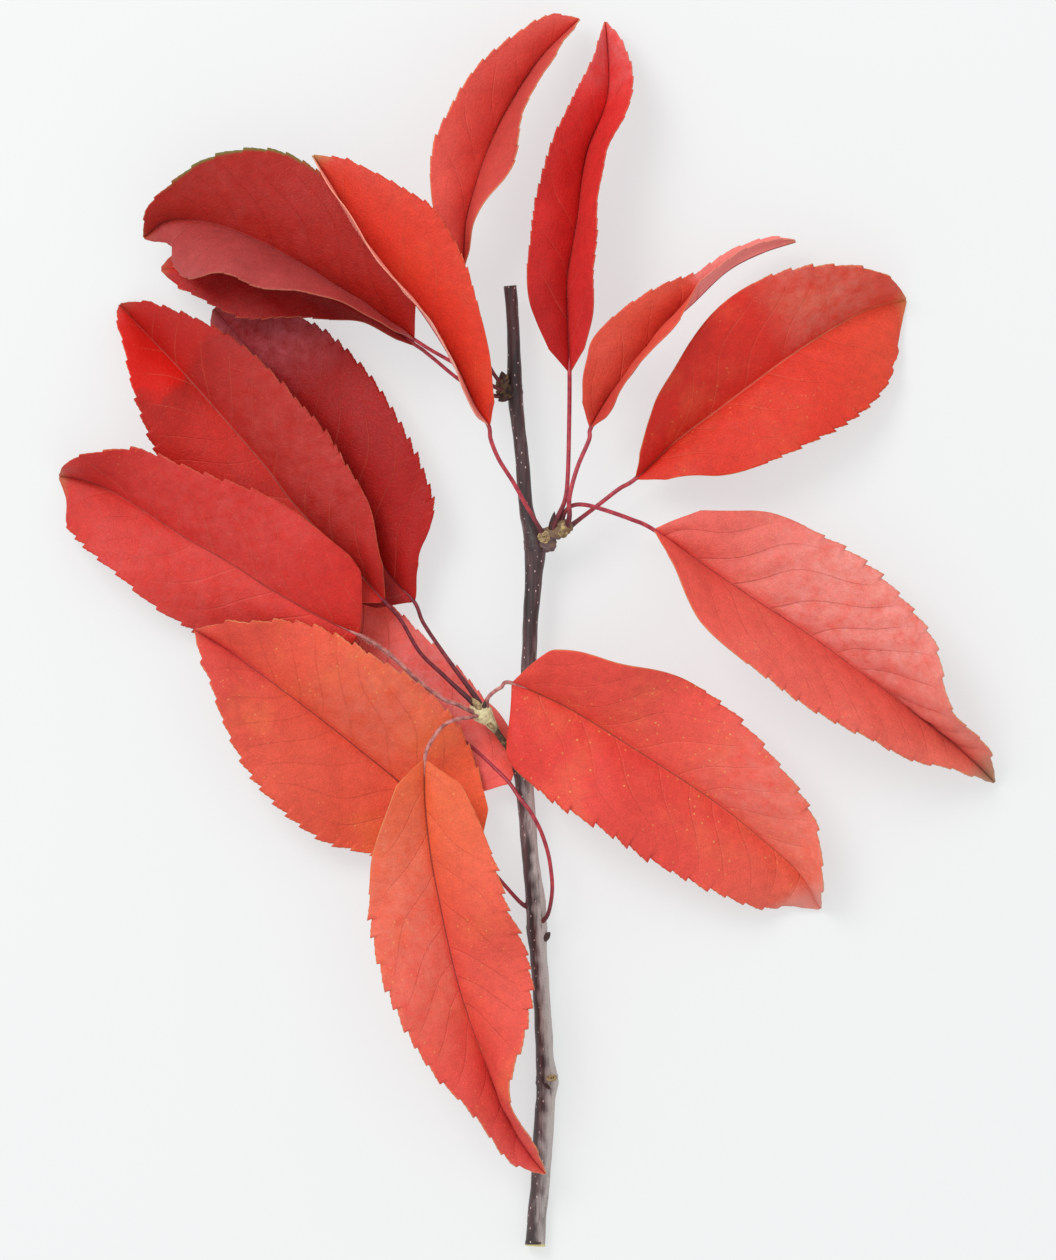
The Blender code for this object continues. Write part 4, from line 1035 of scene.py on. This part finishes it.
def shoot_surface(name):
    """Young bark of a short shoot, as grown: dull, brown where it is old, paler and downy at its young end."""
    old, young = SPUR_SKIN[name][2:4]
    made, tree, shader = new_surface(f"young bark of {name}")
    place = node(tree, "TexCoord", out="Object")
    youth = node(tree, "Attribute", attribute_name="youth", out="Fac")
    mottle = node(tree, "TexNoise", {"Vector": place, "Scale": 1 / (1.4 * MM), "Detail": 5.0, "Roughness": 0.6})
    grain = node(tree, "TexNoise", {"Vector": place, "Scale": 1 / (0.3 * MM), "Detail": 2.0})
    shift = node(tree, "MapRange", {0: mottle, 1: 0.3, 2: 0.7, 3: -0.35, 4: 0.35})
    mixed = node(tree, "Math", {0: youth, 1: shift}, operation="ADD", use_clamp=True)
    colour = node(tree, "Mix", {0: mixed, 6: rgba(old), 7: rgba(young)}, data_type="RGBA", out=2)
    stain = node(tree, "MapRange", {0: mottle, 1: 0.5, 2: 0.66, 4: 0.6})
    colour = node(tree, "Mix", {0: stain, 6: colour, 7: rgba("#8A6C44")}, data_type="RGBA", out=2)
    tone = node(tree, "MapRange", {0: grain, 3: 0.8, 4: 1.2})
    colour = node(tree, "HueSaturation", {"Color": colour, "Value": tone})
    bump = node(tree, "Bump", {"Height": mottle, "Distance": 0.15 * MM, "Strength": 0.7})
    gloss = node(tree, "MapRange", {0: mottle, 3: 0.7, 4: 0.9})
    give(tree, shader, {"Base Color": colour, "Roughness": gloss, "Normal": bump})
    return made


def ring_across(heading, hint, sides, flat=1):
    """A heading of length one, the angles of a ring round it, and the ring's points, flattened one way."""
    heading = unit(np.array(heading, float))
    sideways = unit(np.cross(heading, hint))
    over = np.cross(sideways, heading)
    turn = np.linspace(0, 2 * np.pi, sides, endpoint=False)
    return heading, turn, np.cos(turn)[:, None] * sideways + flat * np.sin(turn)[:, None] * over


def add_cap(growth, rings, centre, surface):
    """Closes rings of points, the widest first, to a cap at their centre."""
    rows, sides = rings.shape[:2]
    last = (rows - 1) * sides
    faces = grid_faces(rows, sides, 0, True)
    faces += [(last + sides, last + k, last + (k + 1) % sides) for k in range(sides)]
    points = np.concatenate([rings.reshape(-1, 3), centre[None]])
    growth.add(points, [tuple(reversed(face)) for face in faces], surface)


def add_cut(growth, place, heading, radius):
    """A saw-cut end: a ring of bark, a pale face that is slightly dished, and the pith sunk a little at its middle.
    """
    heading, _, ring = ring_across(heading, (0, 0, 1.0), CUT_SIDES)
    steps = ((1.0, -0.9), (1.0, 0.0), (0.93, 0.1), (0.86, 0.04), (0.5, 0.0), (0.2, 0.02), (0.14, -0.1))
    rings = np.stack([place + ring * radius * share + heading * rise for share, rise in steps])
    rings[..., 2] = np.maximum(rings[..., 2], ABOVE_TABLE)
    kinds = [0] * CUT_SIDES + [3] * CUT_SIDES + [1] * CUT_SIDES * (len(steps) - 2)
    add_cap(growth, rings, place - heading * 0.1, kinds)


def add_bud(growth, foot, tip, radius, scales=5, surface=2):
    """A pointed bud of overlapping scales, each a thin curved sheet that wraps part of the way round."""
    foot, tip = np.array(foot, float), np.array(tip, float)
    long = np.linalg.norm(tip - foot)
    heading = (tip - foot) / long
    sideways = unit(np.cross(heading, (0.3, 0.1, 1.0)))
    over = np.cross(heading, sideways)
    up_the_bud = np.linspace(0, 1, 9)
    for k in range(scales + 1):
        starts = 0.62 * k / (scales + 1)
        rise = starts + (1 - starts) * up_the_bud
        shape = np.sin(np.pi * np.clip(0.3 + 0.7 * rise, 0, 1)) ** 0.8
        wide = (2.1 if k else 3.0) * np.cos(up_the_bud * np.pi / 2 * 0.96) ** 0.6
        turn = k * 2.4 + wide[:, None] * np.linspace(-1, 1, 11)[None]
        far = radius * (shape * (1.04 - 0.06 * k))[:, None] * np.ones(11)[None]
        base = foot + heading * (rise * long)[:, None]
        ring = np.cos(turn)[..., None] * sideways + np.sin(turn)[..., None] * over
        outer = base[:, None] + far[..., None] * ring
        inner = base[:, None] + (far * 0.8)[..., None] * ring - heading * 0.05
        add_shell(growth, inner, outer, (surface, surface))


def add_scar(growth, place, heading, size):
    """The raised pale scar that a fallen leaf has left: a low cushion with a dished face."""
    heading, _, ring = ring_across(heading, (0, 1.0, 0.2), 20, 0.6)
    steps = ((1.05, -0.9), (0.95, -0.1), (0.8, 0.12), (0.6, 0.06), (0.3, 0.1))
    rings = np.stack([np.array(place) + ring * size * share + heading * rise for share, rise in steps])
    add_cap(growth, rings, np.array(place) + heading * 0.1, 3)


def scatter_tree(name, shape, surface):
    """Geometry Nodes that scatter one small shape over a surface, upright on it and turned along the twig."""
    tree = bpy.data.node_groups.new(name, "GeometryNodeTree")
    new_socket = tree.interface.new_socket
    inputs = {}
    new_socket(name="Geometry", in_out="INPUT", socket_type="NodeSocketGeometry")
    for label, kind in (("Spacing", "Float"), ("Density", "Float"), ("Size", "Vector"), ("Seed", "Int")):
        inputs[label] = new_socket(name=label, in_out="INPUT", socket_type=f"NodeSocket{kind}").identifier
    new_socket(name="Geometry", in_out="OUTPUT", socket_type="NodeSocketGeometry")
    given = node(tree, "NodeGroupInput", out=None).outputs
    seed = given["Seed"]
    spread = node(
        tree,
        "GeometryNodeDistributePointsOnFaces",
        {"Mesh": given["Geometry"], "Distance Min": given["Spacing"], "Density Max": given["Density"], "Seed": seed},
        out=None,
        distribute_method="POISSON",
    ).outputs
    upright = node(tree, "FunctionNodeAlignRotationToVector", {"Vector": spread["Normal"]}, axis="Z")
    turned = node(
        tree,
        "FunctionNodeAlignRotationToVector",
        {"Rotation": upright, "Vector": (0.0, 1.0, 0.0)},
        axis="Y",
        pivot_axis="Z",
    )
    chance = node(tree, "FunctionNodeRandomValue", {2: 0.45, 3: 1.15, "Seed": seed}, 1, data_type="FLOAT")
    scaled = node(tree, "VectorMath", {0: given["Size"], "Scale": chance}, operation="SCALE")
    piece = node(tree, *shape)
    placed = node(
        tree,
        "GeometryNodeInstanceOnPoints",
        {"Points": spread["Points"], "Instance": piece, "Rotation": turned, "Scale": scaled},
    )
    real = node(tree, "GeometryNodeRealizeInstances", {"Geometry": placed})
    dressed = node(tree, "GeometryNodeSetMaterial", {"Geometry": real, "Material": surface})
    node(tree, "NodeGroupOutput", {"Geometry": dressed}, out=None)
    return tree, inputs


def scatter(name, carrier, tree, inputs, **given):
    """Runs a scatter tree over a copy of the carrier's mesh and keeps its result as a plain mesh."""
    made = new_object(name, carrier)
    modifier = made.modifiers.new(name, "NODES")
    modifier.node_group = tree
    for label, value in given.items():
        modifier[inputs[label]] = value
    result = evaluated_mesh(made)
    made.modifiers.remove(modifier)
    made.data = result
    if not result.polygons:
        raise RuntimeError(f"{name}: nothing was scattered")
    return made


def make_spur(name, bark):
    """A short shoot: stacked rings of old bud scars, run together, with the buds and bud rings that stand on it."""
    spots = SPURS[name]
    mesh = bmesh.new()
    steps = np.linspace(0, len(spots) - 1, 4 * len(spots) - 3)
    sizes = np.array(spots)[:, 3] * SPUR_SKIN[name][4]
    for (x, y, z), radius in zip(smooth(np.array(spots)[:, :3], steps), np.interp(steps, range(len(spots)), sizes)):
        bmesh.ops.create_icosphere(mesh, subdivisions=3, radius=radius, matrix=Matrix.Translation((x, y, z)))
    lumps = bpy.data.meshes.new(name)
    mesh.to_mesh(lumps)
    mesh.free()
    joined = new_object(name, lumps)
    one = joined.modifiers.new("one body", "REMESH")
    one.mode = "VOXEL"
    one.voxel_size = VOXEL
    even = joined.modifiers.new("even", "SMOOTH")
    even.factor = 0.5
    even.iterations = 8
    solid = evaluated_mesh(joined)
    bpy.data.objects.remove(joined)
    points = np.array([v.co for v in solid.vertices])
    normals = np.array([v.normal for v in solid.vertices])
    path = np.array([spot[:3] for spot in spots])
    shoot = unit(path[-1] - path[0])
    ring_depth, lump_depth = SPUR_SKIN[name][:2]
    run = (points - path[0]) @ shoot
    rings = ring_depth * np.sin(run * 2 * np.pi / RING_PITCH)
    moved = rings + lump_depth * rough(points, 1.1, 5) + 0.05 * rough(points, 0.35, 2)
    points = points + moved[:, None] * normals
    youth = np.clip((run / np.linalg.norm(path[-1] - path[0]) - 0.42) / 0.2, 0, 1)
    growth = Growth()
    growth.add(points, [tuple(face.vertices) for face in solid.polygons], 0, youth=youth)
    for foot, tip, radius, surface in SPUR_BUDS[name]:
        add_bud(growth, foot, tip, radius, 4, surface)
    for place, heading, radius in BUD_RINGS.get(name, ()):
        add_ring_bud(growth, place, heading, radius)
    surfaces = [shoot_surface(name), scale_surface(bark), wood_surface(bark), young_surface(bark)]
    return growth.make(f"young_bark_of_{name}", surfaces)


def add_ring_bud(growth, place, heading, radius):
    """A stub that bud scales once wrapped: low rings, each a little smaller, round a dished middle."""
    heading, turn, around = ring_across(heading, (0.2, 1.0, 0.1), 30)
    steps = [(1.0, -1.2), (1.04, -0.4), (0.95, 0.05), (0.84, 0.1), (0.8, -0.05), (0.74, 0.02), (0.68, 0.28)]
    steps += [(0.56, 0.32), (0.52, 0.16), (0.44, 0.2), (0.36, 0.38), (0.24, 0.36), (0.16, 0.14), (0.06, 0.1)]
    rings = []
    for k, (share, rise) in enumerate(steps):
        uneven = 1 + 0.06 * np.sin(3 * turn + k) + 0.04 * np.sin(7 * turn + 2 * k)
        rings.append(np.array(place) + around * (radius * share * uneven)[:, None] + heading * rise * radius)
    add_cap(growth, np.stack(rings), np.array(place) + heading * 0.08 * radius, 3)


class StageOperator(bpy.types.Operator):
    """Lay the pale table, hang the soft light and set the camera straight above"""

    bl_idname = "leaftwig.stage"
    bl_label = "Table, light and camera"

    def execute(self, context):
        stage = context.scene.leaftwig_stage
        mesh = bmesh.new()
        bmesh.ops.create_grid(mesh, x_segments=8, y_segments=8, size=3)
        bmesh.ops.translate(mesh, verts=mesh.verts, vec=(0, 0, -0.03 * MM))
        data = bpy.data.meshes.new("table")
        mesh.to_mesh(data)
        mesh.free()
        table = new_object("table", data)
        data.materials.append(self.card(stage))

        world = bpy.data.worlds.new("soft room")
        world.use_nodes = True
        give(world.node_tree, world.node_tree.nodes["Background"], {"Color": DAYLIGHT, "Strength": stage.sky})
        context.scene.world = world
        light = bpy.data.lights.new("window", "AREA")
        light.shape = "RECTANGLE"
        light.size = light.size_y = 0.55
        light.energy = stage.key
        lamp = new_object("window", light)
        lamp.location = (-0.55, 0.62, 1.0)
        lamp.rotation_euler = (Vector((0, 0, 0)) - lamp.location).to_track_quat("-Z", "Y").to_euler()

        # The photograph looks straight down, and its frame is 232.3 mm by 277.2 mm on the table.
        camera = new_object("camera", bpy.data.cameras.new("camera"))
        camera.data.lens = 400
        camera.data.sensor_width = 36
        camera.data.clip_end = 20
        camera.location = (0.18 * MM, 0.075 * MM, stage.distance)
        context.scene.camera = camera
        context.scene.view_settings.view_transform = "Standard"
        return {"FINISHED"}

    def card(self, stage):
        """Matt white card, as pressed: even and dull, with the faintest tooth."""
        made, tree, shader = new_surface("matt white card")
        place = node(tree, "TexCoord", out="Object")
        cloud = node(tree, "TexNoise", {"Vector": place, "Scale": 1 / (60 * MM)})
        tone = node(tree, "MapRange", {"Value": cloud, "To Min": 0.985, "To Max": 1.0})
        colour = node(tree, "HueSaturation", {"Color": rgba(stage.floor), "Value": tone})
        give(tree, shader, {"Base Color": colour, "Roughness": 0.95, "Specular IOR Level": 0.1})
        give(tree, shader, {"Emission Color": DAYLIGHT, "Emission Strength": stage.glow})
        return made


class TwigOperator(bpy.types.Operator):
    """Grow the cut twig with its bark, scars, side buds and cut ends"""

    bl_idname = "leaftwig.twig"
    bl_label = "Twig"

    def execute(self, context):
        bark = context.scene.leaftwig_bark
        twig = make_twig(bark)
        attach(twig, "root")
        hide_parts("twig")
        return {"FINISHED"}


class LenticelOperator(bpy.types.Operator):
    """Scatter the pale breathing pores over the bark"""

    bl_idname = "leaftwig.lenticels"
    bl_label = "Breathing pores"

    def execute(self, context):
        bark = context.scene.leaftwig_bark
        surface = mottled_surface("corky lenticel", "#BC9E98", bark.lenticel, 0.3, 0.85, 0.05)
        shape = ("GeometryNodeMeshIcoSphere", {"Radius": 0.5, "Subdivisions": 2})
        tree, inputs = scatter_tree("scattered lenticels", shape, surface)
        long = bark.lenticel_length
        carrier = bpy.data.objects["bark_of_twig"].data
        pores = scatter(
            "lenticels",
            carrier,
            tree,
            inputs,
            Spacing=bark.lenticel_spacing,
            Density=PORE_DENSITY,
            Size=(long * 0.55, long, long * 0.22),
            Seed=bark.hair_seed,
        )
        for corner in pores.data.vertices:
            corner.co.y = max(corner.co.y, CAD_BOX[0][1] + 0.02 * MM)
            corner.co.z = max(corner.co.z, ABOVE_TABLE * MM)
        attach(pores, "root")
        return {"FINISHED"}


class ShootOperator(bpy.types.Operator):
    """Grow the three short shoots with their rings and buds"""

    bl_idname = "leaftwig.shoots"
    bl_label = "Short shoots"

    def execute(self, context):
        bark = context.scene.leaftwig_bark
        for name in SPURS:
            shoot = make_spur(name, bark)
            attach(shoot, "root")
            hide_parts(name)
        return {"FINISHED"}


class GrowLeaves:
    """What the four operators of the leaves share: each grows the leaves that its letter names"""

    def execute(self, context):
        for number, name in enumerate(LEAVES):
            if name[5] == self.letter:
                finish_leaf(make_leaf(name, number, context.scene.leaftwig_leaves), name)
        return {"FINISHED"}


class TopLeavesOperator(GrowLeaves, bpy.types.Operator):
    """Grow the three leaves of the top short shoot"""

    bl_idname = "leaftwig.top_leaves"
    bl_label = "Leaves of the top shoot"
    letter = "a"


class MiddleLeavesOperator(GrowLeaves, bpy.types.Operator):
    """Grow the five leaves of the middle short shoot"""

    bl_idname = "leaftwig.middle_leaves"
    bl_label = "Leaves of the middle shoot"
    letter = "b"


class LowerLeavesOperator(GrowLeaves, bpy.types.Operator):
    """Grow the five leaves of the lower short shoot"""

    bl_idname = "leaftwig.lower_leaves"
    bl_label = "Leaves of the lower shoot"
    letter = "c"


class StemLeavesOperator(GrowLeaves, bpy.types.Operator):
    """Grow the two leaves that stand on the twig itself"""

    bl_idname = "leaftwig.stem_leaves"
    bl_label = "Leaves on the twig"
    letter = "d"


class HairOperator(bpy.types.Operator):
    """Scatter short pale hairs over the youngest stalk"""

    bl_idname = "leaftwig.hairs"
    bl_label = "Stalk hairs"

    def execute(self, context):
        bark = context.scene.leaftwig_bark
        growth = Growth()
        leaf = LEAVES[HAIRY_STALK]
        line = walk([*leaf["stalk"], leaf["midrib"][0]], np.linspace(0, 1, 40))[0]
        add_tube(growth, line, np.full(40, STALK_RADII["c"]), 10)
        carrier = growth.make("hair_carrier", [])
        surface = mottled_surface("pale plant hair", "#B9A08C", "#E6DACB", 1.0, 0.7, 0.02)
        shape = ("GeometryNodeMeshCone", {"Vertices": 3, "Radius Top": 0.0, "Radius Bottom": 0.05, "Depth": 1.0})
        tree, inputs = scatter_tree("scattered hairs", shape, surface)
        long = bark.hair_length
        hairs = scatter(
            "stalk_hairs",
            carrier.data,
            tree,
            inputs,
            Spacing=HAIR_SPACING * MM,
            Density=HAIR_DENSITY,
            Size=(long, long, long),
            Seed=bark.hair_seed,
        )
        bpy.data.objects.remove(carrier)
        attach(hairs, "root")
        return {"FINISHED"}


class LEAFTWIG_PT_panel(bpy.types.Panel):
    """Lists the steps that dress the twig, with their sizes and colours"""

    bl_idname = "LEAFTWIG_PT_panel"
    bl_label = "Autumn leaf twig"
    bl_space_type = "VIEW_3D"
    bl_region_type = "UI"
    bl_category = "Leaf Twig"

    def draw(self, context):
        for step in STEPS:
            self.layout.operator(step.bl_idname)
        for settings in (context.scene.leaftwig_leaves, context.scene.leaftwig_bark, context.scene.leaftwig_stage):
            box = self.layout.box()
            for key in settings.__annotations__:
                box.prop(settings, key)


STEPS = (
    StageOperator,
    TwigOperator,
    LenticelOperator,
    ShootOperator,
    TopLeavesOperator,
    MiddleLeavesOperator,
    LowerLeavesOperator,
    StemLeavesOperator,
    HairOperator,
)
CLASSES = (LEAFTWIG_PG_leaves, LEAFTWIG_PG_bark, LEAFTWIG_PG_stage, *STEPS, LEAFTWIG_PT_panel)


def register():
    for kind in CLASSES:
        bpy.utils.register_class(kind)
    bpy.types.Scene.leaftwig_leaves = PointerProperty(type=LEAFTWIG_PG_leaves)
    bpy.types.Scene.leaftwig_bark = PointerProperty(type=LEAFTWIG_PG_bark)
    bpy.types.Scene.leaftwig_stage = PointerProperty(type=LEAFTWIG_PG_stage)


def unregister():
    del bpy.types.Scene.leaftwig_stage
    del bpy.types.Scene.leaftwig_bark
    del bpy.types.Scene.leaftwig_leaves
    for kind in reversed(CLASSES):
        bpy.utils.unregister_class(kind)


def main():
    register()
    bpy.ops.leaftwig.stage()
    bpy.ops.leaftwig.twig()
    bpy.ops.leaftwig.lenticels()
    bpy.ops.leaftwig.shoots()
    bpy.ops.leaftwig.top_leaves()
    bpy.ops.leaftwig.middle_leaves()
    bpy.ops.leaftwig.lower_leaves()
    bpy.ops.leaftwig.stem_leaves()
    bpy.ops.leaftwig.hairs()


if __name__ == "__main__":
    main()
